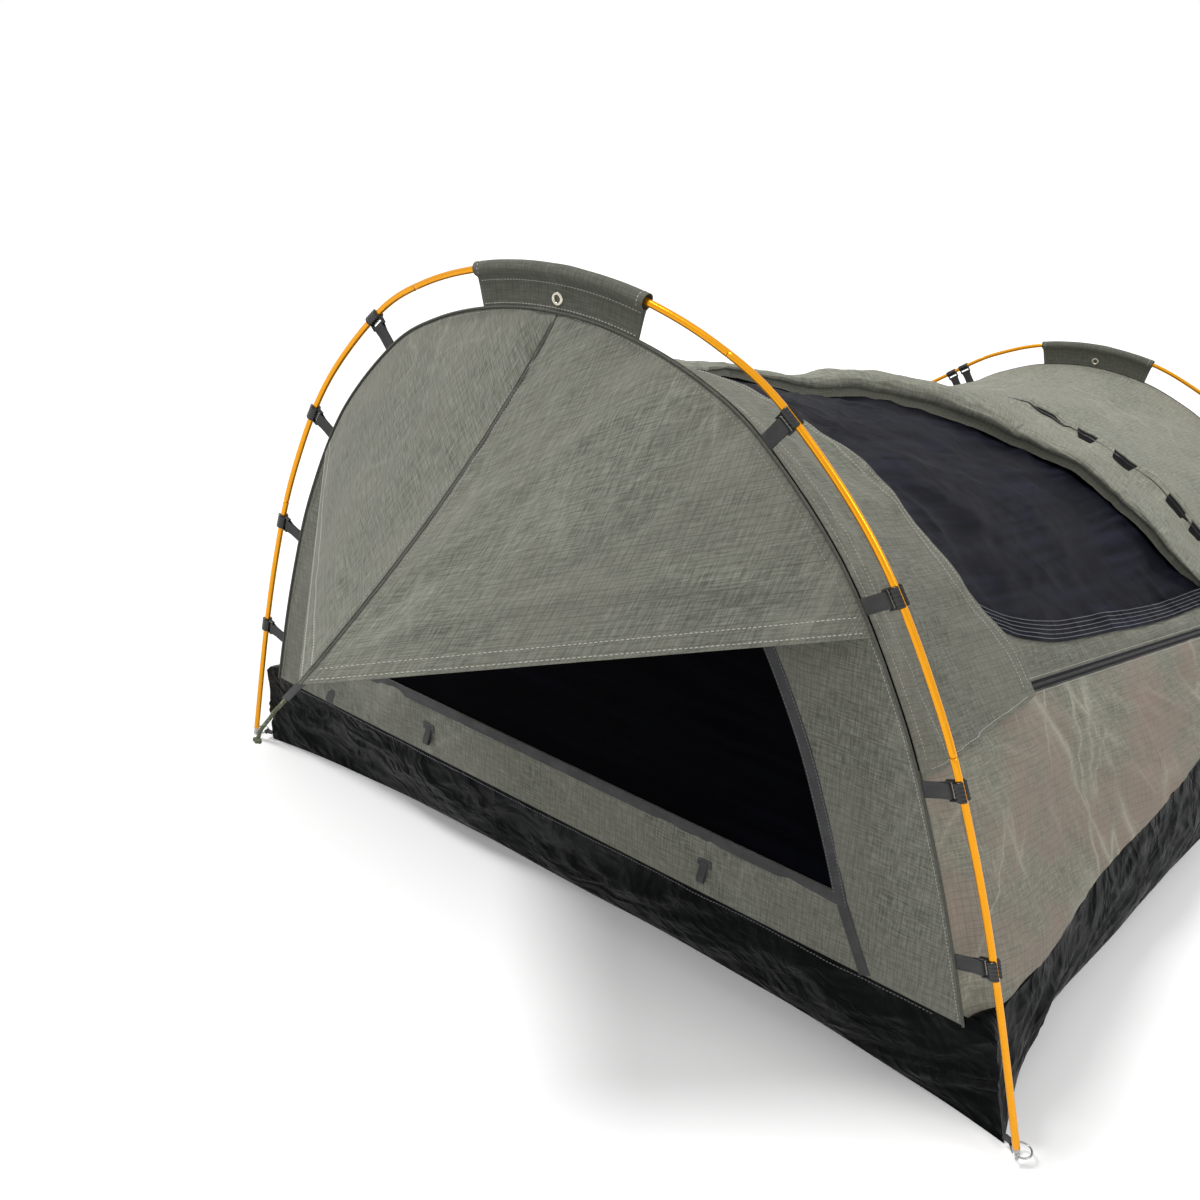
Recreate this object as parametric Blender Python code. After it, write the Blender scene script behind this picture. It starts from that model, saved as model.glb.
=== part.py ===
"""A double dome swag: canvas bedroll tent on two sprung pole hoops, side door thrown open.

Metres. +Z is up, the head end faces -Y, the open door is on the +X side.
The origin is the middle of the groundsheet's underside.
"""

import math

import bmesh
import bpy
import numpy as np
from mathutils import Vector

# Driving sizes of the frame
HOOP_HALF_SPAN = 0.750
HALF_LENGTH = 1.030
HEAD_TOP_Z = 0.975
FOOT_TOP_Z = 0.495
PIVOT_Z = 0.014
HEAD_SECTIONS = 5
FOOT_SECTIONS = 3

# A hoop's right half, foot to crown: shares of its half span and of its rise
HEAD_HOOP_shares = (
    (1.0, 0.0), (0.917, 0.235), (0.843, 0.415), (0.756, 0.581),
    (0.625, 0.753), (0.455, 0.888), (0.319, 0.950), (0.160, 0.988),
)
FOOT_HOOP_shares = (
    (1.0, 0.0), (0.900, 0.190), (0.790, 0.375), (0.675, 0.535),
    (0.547, 0.672), (0.448, 0.779), (0.347, 0.872), (0.189, 0.965),
)

# Poles: tubes, each lower one with a spigot up into the next
POLE_RADIUS = 0.00475
POLE_WALL = 0.0009
SPIGOT_WALL = 0.0008
SPIGOT_LENGTH = 0.040
FIT_CLEARANCE = 0.0003
POLE_SIDES = 8
STATION_SPACING = 0.058

# Canvas
CANVAS_GAP = 0.050
CANVAS = 0.0020
MESH = 0.0010
SEAM_GAP = 0.0004
TUB_SEAM_Z = 0.165
CANOPY_SAG = 0.095
SEAM_BULGE = 0.072
SEAM_DENT = 0.032
DENT_PLACE_share = 0.19
DENT_WIDTH_share = 0.09
FOLD_DEPTH = 0.010
FOLD_COUNT = 9

# Places on the canopy: shares of the way from head to foot, and of half an arch
BAND_REAR_share = 0.130
RIDGE_share = -0.120
LEFT_WALL_share = -0.740
HEM_WIDTH_share = 0.034
HEM_shares = ((0.130, 0.560), (0.158, 0.605), (0.217, 0.655), (0.355, 0.720), (0.600, 0.830))
ZIP_HEAD_shares = (0.160, 0.692)
ZIP_FOOT_shares = (0.600, 0.888)
ZIP_TAPER_share = 0.020
LENGTH_shares = (0.045, 0.090, 0.130, 0.140, 0.160, 0.200, 0.250, 0.300, 0.350, 0.400, 0.450, 0.500, 0.550,
                 0.600, 0.620, 0.670, 0.730, 0.790, 0.850, 0.910, 0.960)

# Head wall, window and awning
WINDOW_INSET = 0.205
WINDOW_SILL_Z = 0.271
TAPE_WIDTH = 0.018
TAPE_THICKNESS = 0.0012
AWNING_REACH = 0.439
AWNING_PEAK_Z = 0.578
AWNING_CORNER_Z = 0.632
AWNING_SAG = 0.027
AWNING_BELLY = 0.012
AWNING_WALL_GAP = 0.0004
SILL_LOOP_X = 0.270
SILL_LOOP_Z = 0.205
SILL_LOOP_DROP = 0.030
SILL_LOOP_REACH = 0.011
SILL_LOOP_WIDTH = 0.014
SILL_LOOP_THICKNESS = 0.0022

# Awning tie: webbing and the cord knotted to it
TIE_LENGTH = 0.022
TIE_WIDTH = 0.012
TIE_THICKNESS = 0.0026
TIE_CORD_RADIUS = 0.0024
TIE_ROUTE = (
    (0.0000, 0.0000, 0.0000), (0.0004, -0.0075, -0.0040), (-0.0006, -0.0150, -0.0084),
    (0.0007, -0.0225, -0.0130), (0.0002, -0.0298, -0.0182), (-0.0007, -0.0362, -0.0245),
    (0.0003, -0.0408, -0.0320),
)
TIE_POINTS = 9

# Pole sleeves and eyelets
SLEEVE_HALF_WIDTH = 0.140
SLEEVE_RADIUS = 0.0105
SLEEVE_BORE = 0.0074
SLEEVE_TAIL = 0.0032
SLEEVE_STATIONS = 9
EYELET_DROP = 0.033
EYELET_BORE = 0.0050
EYELET_WALL = 0.0008
EYELET_FLANGE = 0.0092
EYELET_LIP = 0.0010

# Clips on the hoops: places on each side, as shares of the hoop's rise
HEAD_CLIP_shares = (0.8835, 0.7045, 0.4870, 0.2622)
FOOT_CLIP_shares = (0.7670, 0.7210)
CLIP_LENGTH = 0.026
CLIP_WALL = 0.0033
CLIP_MOUTH_DEG = 50.0
NECK_THICKNESS = 0.0056
NECK_LENGTH = 0.0165
TAB_THICKNESS = 0.0024

# Floor and mattress: corners and mattress edges keep their distances to the hoop feet
CORNER_SIDE_GAP = 0.024
CORNER_END_GAP = 0.021
EAR_REACH = 0.042
EAR_END_GAP = 0.0025
END_BOW = 0.040
PVC = 0.0030
WALL_BILLOW = 0.012
BILLOW_Z = 0.080
FLOOR_SIDE_shares = (
    (0.0, 1.0), (0.035, 0.972), (0.10, 0.928), (0.15, 0.928), (0.25, 0.950), (0.35, 0.966),
    (0.42, 0.985), (0.60, 0.985), (0.80, 0.955), (0.90, 0.940), (0.965, 0.968), (1.0, 1.0),
)
MATTRESS_SIDE_GAP = 0.125
MATTRESS_END_GAP = 0.080
MATTRESS_THICKNESS = 0.068
MATTRESS_CROWN = 0.009
MATTRESS_DRAW = 0.006

# Pole-foot pins, the rings they turn on and the loops that hold the rings
PIN_ROD_RADIUS = 0.0020
PIN_COLLAR_RADIUS = 0.0043
PIN_COLLAR_LENGTH = 0.003
PIN_ROD_LENGTH = 0.009
PIN_PLUG_LENGTH = 0.030
EYE_BORE = 0.0027
EYE_RADIUS = 0.0052
EYE_WIDTH = 0.0032
RING_RADIUS = 0.0125
RING_WIRE = 0.0013
LOOP_BORE = 0.0024
LOOP_RADIUS = 0.0040
LOOP_WIDTH = 0.0080
LOOP_TAIL = 0.0030

# Door: flap roll and zip
ROLL_HEIGHT = 0.072
ROLL_WIDTH = 0.112
ROLL_LIFT = 0.0030
FLAP_THICKNESS = 0.0040
FLAP_TAIL = 0.130
FLAP_TAPE_WIDTH = 0.014
FLAP_TAPE_START_share = 0.50
ROLL_PATH_shares = (
    (0.120, 0.020), (0.200, -0.055), (0.320, -0.075), (0.420, -0.040),
    (0.500, 0.090), (0.538, 0.280), (0.550, 0.480), (0.558, 0.660), (0.580, 0.815),
)
ROLL_SECTION_shares = (
    (-0.36, 0.0), (-0.49, 0.22), (-0.47, 0.62), (-0.30, 0.92), (0.0, 1.0), (0.29, 0.90), (0.45, 0.60),
    (0.49, 0.28),
)
ROLL_SIZE_shares = (
    (0.0, 0.13), (0.15, 0.18), (0.19, 0.29), (0.225, 0.44), (0.263, 0.56), (0.30, 0.63), (0.41, 0.67),
    (0.50, 0.86), (0.60, 1.0), (0.75, 0.92), (1.0, 0.62),
)
ROLL_FLATTEN_shares = ((0.0, 1.0), (0.38, 1.0), (0.46, 0.75), (0.52, 0.52), (0.60, 0.42), (0.85, 0.40), (1.0, 0.50))
TAIL_SIZE_shares = ((0.0, 0.04), (0.38, 0.06), (0.55, 0.75), (0.72, 0.60), (1.0, 0.45))
ROLL_STATIONS = 30
ZIP_HALF_WIDTH = 0.008
ZIP_THICKNESS = 0.0012
COIL_HALF_WIDTH = 0.0026
COIL_HEIGHT = 0.0022
SLIDER_LENGTH = 0.016
SLIDER_HALF_WIDTH = 0.0062
SLIDER_ROOF = 0.0014
SLIDER_END_GAP = 0.030
PULL_LENGTH = 0.030
PULL_HALF_WIDTH = 0.0036
PULL_HALF_THICKNESS = 0.0012

COLOURS = {
    "canvas": ((0.215, 0.220, 0.190), 0.90, 0.0),
    "wall_canvas": ((0.260, 0.245, 0.215), 0.90, 0.0),
    "pvc": ((0.018, 0.021, 0.023), 0.38, 0.0),
    "mesh": ((0.012, 0.013, 0.022), 0.75, 0.0),
    "webbing": ((0.075, 0.080, 0.080), 0.85, 0.0),
    "clip_plastic": ((0.015, 0.015, 0.016), 0.40, 0.0),
    "pole_alloy": ((0.780, 0.400, 0.040), 0.28, 1.0),
    "nickel": ((0.620, 0.600, 0.560), 0.25, 1.0),
    "steel": ((0.550, 0.550, 0.540), 0.30, 1.0),
    "foam_cover": ((0.110, 0.115, 0.120), 0.92, 0.0),
    "cord": ((0.130, 0.150, 0.085), 0.80, 0.0),
    "zip": ((0.012, 0.012, 0.013), 0.60, 0.0),
}

UP = np.array([0.0, 0.0, 1.0])
ALONG = np.array([0.0, 1.0, 0.0])
ACROSS = np.array([1.0, 0.0, 0.0])


# Making nodes


def clear_scene():
    for obj in list(bpy.data.objects):
        bpy.data.objects.remove(obj, do_unlink=True)


def material(name):
    found = bpy.data.materials.get(name)
    if found:
        return found
    colour, roughness, metallic = COLOURS[name]
    made = bpy.data.materials.new(name)
    made.use_nodes = True
    shader = made.node_tree.nodes["Principled BSDF"]
    shader.inputs["Base Color"].default_value = (*colour, 1.0)
    shader.inputs["Roughness"].default_value = roughness
    shader.inputs["Metallic"].default_value = metallic
    return made


def pivot_empty(name, place):
    """An empty on a joint's axis, which carries the pieces that move on it."""
    empty = bpy.data.objects.new(name, None)
    empty.location = Vector(place)
    bpy.context.collection.objects.link(empty)
    return empty


def add_node(name, points, faces, slot, pivot=None, smooth_deg=40.0):
    shift = Vector(pivot.location) if pivot else Vector((0.0, 0.0, 0.0))
    mesh = bpy.data.meshes.new(name)
    mesh.from_pydata([Vector(point) - shift for point in points], [], [tuple(face) for face in faces])
    mesh.materials.append(material(slot))
    work = bmesh.new()
    work.from_mesh(mesh)
    bmesh.ops.recalc_face_normals(work, faces=work.faces)
    if work.calc_volume(signed=True) < 0.0:
        bmesh.ops.reverse_faces(work, faces=work.faces)
    work.to_mesh(mesh)
    work.free()
    mesh.shade_smooth()
    mesh.set_sharp_from_angle(angle=math.radians(smooth_deg))
    obj = bpy.data.objects.new(name, mesh)
    bpy.context.collection.objects.link(obj)
    if pivot:
        obj.parent = pivot
    return obj


def combine(obj, tool, operation):
    """Adds or cuts a helper shape."""
    tool.hide_render = True
    tool.display_type = "WIRE"
    modifier = obj.modifiers.new(tool.name, "BOOLEAN")
    modifier.operation = operation
    modifier.object = tool


def loft(name, rings, slot, pivot=None, closed=False, smooth_deg=40.0):
    """Rings of points joined in turn: closed into a loop, or capped at both ends."""
    count = len(rings[0])
    faces = []
    for i in range(len(rings) if closed else len(rings) - 1):
        a, b = i * count, (i + 1) % len(rings) * count
        for j in range(count):
            k = (j + 1) % count
            faces.append((a + j, a + k, b + k, b + j))
    if not closed:
        faces.append(tuple(range(count))[::-1])
        faces.append(tuple((len(rings) - 1) * count + j for j in range(count)))
    return add_node(name, np.concatenate(rings), faces, slot, pivot, smooth_deg)


def prism(name, profile, centre, axes, length, slot, pivot=None):
    """A profile in the first two axes, drawn out half each way along the third."""
    flat = np.array([centre + a * axes[0] + b * axes[1] for a, b in profile])
    half = length / 2 * axes[2]
    return loft(name, [flat - half, flat + half], slot, pivot)


def holed_prism(name, outer, inner, centre, axes, length, slot, pivot=None):
    """As a prism, with a hole whose outline has as many points as the profile."""
    half = length / 2 * axes[2]
    rings = []
    for a, b in zip(outer, inner):
        out = centre + a[0] * axes[0] + a[1] * axes[1]
        hole = centre + b[0] * axes[0] + b[1] * axes[1]
        rings.append(np.array([out - half, out + half, hole + half, hole - half]))
    return loft(name, rings, slot, pivot, True)


def sheet(name, grid, normals, low, high, slot, pivot=None, smooth_deg=50.0):
    """A closed sheet between two offsets from a grid of points."""
    grid, normals = np.array(grid), np.array(normals)
    rows, columns = grid.shape[:2]
    over = (grid + high * normals).reshape(-1, 3)
    under = (grid + low * normals).reshape(-1, 3)
    side = rows * columns
    faces = []
    for i in range(rows - 1):
        for j in range(columns - 1):
            a = i * columns + j
            b = a + columns
            # The same diagonal on both sides keeps a twisted sheet as thick as a flat one
            for corners in ((a, a + 1, b + 1), (a, b + 1, b)):
                faces.append(corners)
                faces.append(tuple(side + k for k in corners[::-1]))
    edge = list(range(columns)) + [i * columns + columns - 1 for i in range(1, rows)]
    edge += [side - 1 - j for j in range(1, columns)] + [i * columns for i in range(rows - 2, 0, -1)]
    for a, b in zip(edge, edge[1:] + edge[:1]):
        faces.append((b, a, side + a, side + b))
    return add_node(name, np.vstack([over, under]), faces, slot, pivot, smooth_deg)


# Curves


def unit(vector):
    vector = np.asarray(vector, float)
    return vector / np.linalg.norm(vector)


def circle_point(radius, degrees):
    return (radius * math.cos(math.radians(degrees)), radius * math.sin(math.radians(degrees)))


def circle(radius, count):
    return [circle_point(radius, 360.0 * k / count) for k in range(count)]


def smooth_path(points, per_span=24):
    """A smooth curve through the points, as a dense run of points."""
    rows = np.array(points, float)
    rows = np.vstack([2 * rows[0] - rows[1], rows, 2 * rows[-1] - rows[-2]])
    out = []
    for i in range(1, len(rows) - 2):
        a, b, c, d = rows[i - 1 : i + 3]
        for u in np.linspace(0.0, 1.0, per_span, endpoint=False):
            cubic = (3 * b - 3 * c + d - a) * u**3 + (2 * a - 5 * b + 4 * c - d) * u**2
            out.append(0.5 * (2 * b + (c - a) * u + cubic))
    out.append(rows[-2])
    return np.array(out)


def lengths_along(path):
    steps = np.linalg.norm(np.diff(path, axis=0), axis=1)
    return np.concatenate([[0.0], np.cumsum(steps)])


def at_length(path, where):
    """Points on the path at these distances along it."""
    along = lengths_along(path)
    return np.stack([np.interp(where, along, path[:, k]) for k in range(path.shape[1])], axis=-1)


def even(path, count):
    return at_length(path, np.linspace(0.0, lengths_along(path)[-1], count))


def on_table(table, value):
    return float(np.interp(value, [row[0] for row in table], [row[1] for row in table]))


def smooth_step(value):
    value = min(max(value, 0.0), 1.0)
    return value * value * (3.0 - 2.0 * value)


def hoop_line(shares, top_z):
    """A hoop's centre line in its own plane, left foot to right foot, as (x, z)."""
    right = [(x * HOOP_HALF_SPAN, PIVOT_Z + z * (top_z - PIVOT_Z)) for x, z in shares]
    left = [(-x, z) for x, z in right]
    return even(smooth_path(left + [(0.0, top_z)] + right[::-1]), 801)


def inset(line, distance):
    """The line moved toward the inside of its hoop."""
    tangent = np.gradient(line, axis=0)
    tangent /= np.linalg.norm(tangent, axis=1)[:, None]
    return line + distance * np.stack([tangent[:, 1], -tangent[:, 0]], axis=1)


def above(line, low_z, count=401):
    """The part of an arch above a level, its ends exactly on that level."""
    keep = np.nonzero(line[:, 1] >= low_z)[0]
    first, last = keep[0], keep[-1]

    def crossing(i, j):
        share = (low_z - line[i, 1]) / (line[j, 1] - line[i, 1])
        return line[i] + share * (line[j] - line[i])

    arch = [crossing(first - 1, first), line[first : last + 1], crossing(last, last + 1)]
    return even(np.vstack(arch), count)


def in_plane(flat, y):
    """Points (x, z) set in the plane at this y."""
    flat = np.asarray(flat)
    return np.stack([flat[:, 0], np.full(len(flat), y), flat[:, 1]], axis=1)


HEAD_LINE = hoop_line(HEAD_HOOP_shares, HEAD_TOP_Z)
FOOT_LINE = hoop_line(FOOT_HOOP_shares, FOOT_TOP_Z)
HEAD_SEAM = above(inset(HEAD_LINE, CANVAS_GAP), TUB_SEAM_Z)
FOOT_SEAM = above(inset(FOOT_LINE, CANVAS_GAP), TUB_SEAM_Z)
SEAM_shares = np.linspace(-1.0, 1.0, len(HEAD_SEAM))


# The canopy's surface


def on_arch(arch, share):
    return np.array([np.interp(share, SEAM_shares, arch[:, k]) for k in range(2)])


def openness(length_share):
    """0 at either end of the canopy and 1 midway."""
    return max(4.0 * length_share * (1.0 - length_share), 0.0)


def seam_bulge(length_share):
    """How far the foot of a side wall stands out past the straight line between the two arches."""
    wide = openness(length_share)
    dent = math.exp(-(((length_share - DENT_PLACE_share) / DENT_WIDTH_share) ** 2))
    return SEAM_BULGE * math.sqrt(wide) * smooth_step(wide / 0.12) - SEAM_DENT * dent * wide


def free_canopy(length_share, arch_share):
    """The canopy where the zip doesn't draw it straight."""
    head, foot = on_arch(HEAD_SEAM, arch_share), on_arch(FOOT_SEAM, arch_share)
    x, z = (1.0 - length_share) * head + length_share * foot
    fall = min(1.0, 1.35 * smooth_step(1.0 - abs(arch_share) / 0.72))
    wide = openness(length_share)
    z -= CANOPY_SAG * wide**0.7 * smooth_step(0.5 + wide / 0.12) * fall
    low = smooth_step((abs(arch_share) - 0.45) / 0.55)
    folds = math.sin(FOLD_COUNT * math.pi * length_share + 4.0 * arch_share)
    folds *= smooth_step(2.0 * wide) * 2.0 * low * (1.0 - low)
    x += math.copysign(low * seam_bulge(length_share) + FOLD_DEPTH * folds, arch_share)
    return np.array([x, HALF_LENGTH * (2.0 * length_share - 1.0), z])


ZIP_HEAD = free_canopy(*ZIP_HEAD_shares)
ZIP_FOOT = free_canopy(*ZIP_FOOT_shares)


def zip_point(length_share):
    share = (length_share - ZIP_HEAD_shares[0]) / (ZIP_FOOT_shares[0] - ZIP_HEAD_shares[0])
    return ZIP_HEAD + share * (ZIP_FOOT - ZIP_HEAD)


def find_zip(length_share):
    """The arch share at which the zip's line crosses this length."""
    if length_share <= ZIP_HEAD_shares[0]:
        return ZIP_HEAD_shares[1]
    if length_share >= ZIP_FOOT_shares[0]:
        return ZIP_FOOT_shares[1]
    level = zip_point(length_share)[2]
    tries = np.linspace(0.5, 1.0, 101)
    heights = np.array([free_canopy(length_share, share)[2] for share in tries])
    return float(np.interp(-level, -heights, tries))


ZIP_shares = tuple((t, find_zip(t)) for t in np.linspace(0.0, 1.0, 101))


def zip_share(length_share):
    return on_table(ZIP_shares, length_share)


def canopy(length_share, arch_share):
    """A point of the canopy: length 0 at the head seam, 1 at the foot; arch -1 left seam, 1 right."""
    point = free_canopy(length_share, arch_share)
    crown = 0.3
    if ZIP_HEAD_shares[0] < length_share < ZIP_FOOT_shares[0] and arch_share > crown:
        at_zip = zip_share(length_share)
        drawn = zip_point(length_share)[0] - free_canopy(length_share, at_zip)[0]
        span = 1.0 - at_zip if arch_share > at_zip else at_zip - crown
        point[0] += drawn * smooth_step(1.0 - abs(arch_share - at_zip) / span)
    return point


def tangents(length_share, arch_share, step_share=0.004):
    t0, t1 = max(length_share - step_share, 0.0), min(length_share + step_share, 1.0)
    v0, v1 = max(arch_share - step_share, -1.0), min(arch_share + step_share, 1.0)
    along = (canopy(t1, arch_share) - canopy(t0, arch_share)) / (t1 - t0)
    across = (canopy(length_share, v1) - canopy(length_share, v0)) / (v1 - v0)
    return along, across


def canopy_normal(length_share, arch_share):
    along, across = tangents(length_share, arch_share)
    return unit(np.cross(across, along))


def places_between(first, last, low, high, columns):
    """Rows at the shared stations between two lengths; low and high give the arch shares there."""
    out = []
    for t in [first] + [t for t in LENGTH_shares if first < t < last] + [last]:
        start, end = low(t), high(t)
        out.append([(t, start + (end - start) * k / (columns - 1)) for k in range(columns)])
    return out


def build_canopy():
    arch_gap = 2.0 * SEAM_GAP / lengths_along(HEAD_SEAM)[-1]
    step = SEAM_GAP / (2.0 * HALF_LENGTH)
    first = (CANVAS / 2 + 2.0 * SEAM_GAP) / (2.0 * HALF_LENGTH)
    band, band_rear = BAND_REAR_share, BAND_REAR_share + step
    zip_first, zip_last = ZIP_HEAD_shares[0], ZIP_FOOT_shares[0]

    def slot_half(t):
        """Half the slot that the zip's tape fills, as an arch share, closing past its ends."""
        past = max(zip_first - t, t - zip_last, 0.0) / ZIP_TAPER_share
        across = np.linalg.norm(tangents(t, zip_share(t))[1])
        return arch_gap + (ZIP_HALF_WIDTH + SEAM_GAP) / across * max(1.0 - past, 0.0)

    def bottom(t):
        return -1.0

    def left_low(t):
        return LEFT_WALL_share - arch_gap

    def left(t):
        return LEFT_WALL_share

    def ridge_low(t):
        return RIDGE_share - arch_gap

    def ridge(t):
        return RIDGE_share

    def hem_top(t):
        return on_table(HEM_shares, t) - HEM_WIDTH_share

    def hem_upper(t):
        return hem_top(t) - arch_gap

    def hem(t):
        return on_table(HEM_shares, t)

    def hem_lower(t):
        return hem(t) - arch_gap

    def zip_upper(t):
        return zip_share(t) - slot_half(t)

    def zip_lower(t):
        return zip_share(t) + slot_half(t)

    def right_bottom(t):
        return 1.0

    panels = (
        ("side_wall_left", first, 1.0 - first, bottom, left_low, 5, "wall_canvas", CANVAS),
        ("head_band", first, band, left, zip_upper, 24, "canvas", CANVAS),
        ("roof_left", band_rear, 1.0 - first, left, ridge_low, 8, "canvas", CANVAS),
        ("door_mesh", band_rear, zip_last, ridge, hem_upper, 10, "mesh", MESH),
        ("door_mesh_hem", band_rear, zip_last, hem_top, hem_lower, 2, "mesh", CANVAS),
        ("door_sill_strip", band_rear, zip_last, hem, zip_upper, 3, "canvas", CANVAS),
        ("roof_rear", zip_last + step, 1.0 - first, ridge, zip_upper, 11, "canvas", CANVAS),
        ("side_wall_right", first, 1.0 - first, zip_lower, right_bottom, 5, "wall_canvas", CANVAS),
    )
    for name, start, end, low, high, columns, slot, thickness in panels:
        places = places_between(start, end, low, high, columns)
        grid = [[canopy(*place) for place in row] for row in places]
        normals = [[canopy_normal(*place) for place in row] for row in places]
        sheet(name, grid, normals, -thickness / 2, thickness / 2, slot)


# Floor tub, mattress, corner rings


def tub_corner():
    """The groundsheet's corner, as (x, y) at the floor, and the y of the corner's top."""
    return HOOP_HALF_SPAN - CORNER_SIDE_GAP, HALF_LENGTH - CORNER_END_GAP, HALF_LENGTH - EAR_END_GAP


def tub_loop(height, outward=0.0, side_count=14, end_count=9):
    """The tub's outline at a height, from the head's left corner, moved outward a little."""
    corner_x, corner_y, ear_y = tub_corner()
    share = height / TUB_SEAM_Z
    billow = WALL_BILLOW * max(1.0 - ((height - BILLOW_Z) / BILLOW_Z) ** 2, 0.0)

    def end_point(across_share, sign):
        low = corner_y - END_BOW * (1.0 - abs(across_share) ** 3)
        high = HALF_LENGTH - EAR_END_GAP * abs(across_share) ** 12
        bow = billow * (1.0 - abs(across_share) ** 4)
        seam = HEAD_SEAM if sign < 0.0 else FOOT_SEAM
        x = across_share * ((1.0 - share) * corner_x + share * (seam[-1, 0] + EAR_REACH))
        return (x, sign * ((1.0 - share) * low + share * high + bow))

    def side_point(t, sign):
        inner = 1.0 - 2.0 * abs(t - 0.5)
        between = (1.0 - t) * HEAD_SEAM[-1, 0] + t * FOOT_SEAM[-1, 0]
        wall = between + seam_bulge(t) + CANVAS / 2
        ear = smooth_step(1.0 - inner / 0.09)
        high = (1.0 - ear) * wall + ear * max(between + EAR_REACH, wall)
        low = corner_x * on_table(FLOOR_SIDE_shares, t)
        y = (2.0 * t - 1.0) * ((1.0 - share) * corner_y + share * ear_y)
        bow = billow * smooth_step(inner / 0.2)
        return (sign * ((1.0 - share) * low + share * high + bow), y)

    loop = [end_point(u, -1.0) for u in np.linspace(-1.0, 1.0, end_count + 1)[:-1]]
    loop += [side_point(t, 1.0) for t in np.linspace(0.0, 1.0, side_count + 1)[:-1]]
    loop += [end_point(u, 1.0) for u in np.linspace(1.0, -1.0, end_count + 1)[:-1]]
    loop += [side_point(t, -1.0) for t in np.linspace(1.0, 0.0, side_count + 1)[:-1]]
    flat = np.array(loop)
    run = np.roll(flat, -1, axis=0) - np.roll(flat, 1, axis=0)
    run /= np.linalg.norm(run, axis=1)[:, None]
    flat = flat + outward * np.stack([run[:, 1], -run[:, 0]], axis=1)
    return np.column_stack([flat, np.full(len(flat), height)])


def build_floor():
    top = TUB_SEAM_Z - 2.0 * SEAM_GAP
    levels = (BILLOW_Z / 4, BILLOW_Z, 1.5 * BILLOW_Z)
    rings = [tub_loop(0.0)] + [tub_loop(level) for level in levels] + [tub_loop(top), tub_loop(top, -PVC)]
    rings += [tub_loop(level, -PVC) for level in levels[::-1]] + [tub_loop(PVC, -PVC)]
    loft("floor_tub", rings, "pvc")


def build_mattress(crown_rings=5, columns=32):
    """A flat foam pad: its plan is a rounded oblong, its top crowned and its sides drawn in midway."""
    base, side = PVC + SEAM_GAP, MATTRESS_THICKNESS
    half_width, half_length = HOOP_HALF_SPAN - MATTRESS_SIDE_GAP, HALF_LENGTH - MATTRESS_END_GAP

    def ring(size_share, height, draw=0.0):
        points = []
        for a, b in circle(1.0, columns):
            x = math.copysign(abs(a) ** 0.22, a) * (half_width * size_share - draw)
            y = math.copysign(abs(b) ** 0.22, b) * (half_length * size_share - draw)
            points.append((x, y, height))
        return np.array(points)

    rings = [ring(0.985, base), ring(1.0, base + 0.16 * side), ring(1.0, base + 0.5 * side, MATTRESS_DRAW)]
    rings += [ring(1.0, base + 0.84 * side), ring(0.975, base + side)]
    for k in range(1, crown_rings):
        share = 1.0 - k / crown_rings
        rings.append(ring(0.975 * share, base + side + MATTRESS_CROWN * (1.0 - share**2)))
    loft("mattress", rings, "foam_cover", smooth_deg=60.0)


def build_corners():
    """At each hoop foot a wire ring, held at the tub's corner by a webbing loop."""
    tail_deg = math.degrees(math.asin(LOOP_TAIL / 2 / LOOP_RADIUS))
    arc = [tail_deg + (360.0 - 2.0 * tail_deg) * k / 9 for k in range(10)]
    corner_x, corner_y, ear_y = tub_corner()
    share = (PIVOT_Z - LOOP_TAIL / 2) / TUB_SEAM_Z
    tip_y = (1.0 - share) * corner_y + share * ear_y
    for end, sign_y, seam in (("head", -1.0, HEAD_SEAM), ("foot", 1.0, FOOT_SEAM)):
        tip_x = (1.0 - share) * corner_x + share * (seam[-1, 0] + EAR_REACH)
        for side, sign_x in (("left", -1.0), ("right", 1.0)):
            centre = np.array([sign_x * HOOP_HALF_SPAN, sign_y * (HALF_LENGTH - RING_RADIUS), PIVOT_Z])
            rings = []
            for a, b in circle(1.0, 16):
                out = a * ACROSS + b * ALONG
                rings.append(np.array([centre + (RING_RADIUS + c) * out + d * UP for c, d in circle(RING_WIRE, 5)]))
            loft(f"corner_ring_{end}_{side}", rings, "steel", closed=True)
            tip = np.array([sign_x * tip_x, sign_y * tip_y, PIVOT_Z])
            toward = unit(tip - centre)
            wire = centre + RING_RADIUS * toward
            reach = np.linalg.norm(tip - wire) - 1.5 * SEAM_GAP
            outer = [(reach, LOOP_TAIL / 2)] + [circle_point(LOOP_RADIUS, a) for a in arc]
            outer += [(reach, -LOOP_TAIL / 2)]
            inner = [circle_point(LOOP_BORE, a) for a in [tail_deg / 2] + arc + [-tail_deg / 2]]
            axes = (toward, UP, np.cross(UP, toward))
            holed_prism(f"corner_loop_{end}_{side}", outer, inner, wire, axes, LOOP_WIDTH, "webbing")


# Hoops


def clip_places(line, rises):
    """Distances along the hoop of its clips: the left side's, then the right side's."""
    along = lengths_along(line)
    middle = len(line) // 2
    heights = [PIVOT_Z + rise * (line[middle, 1] - PIVOT_Z) for rise in rises]
    left = [float(np.interp(z, line[: middle + 1, 1], along[: middle + 1])) for z in heights]
    return left + [along[-1] - where for where in left]


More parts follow.
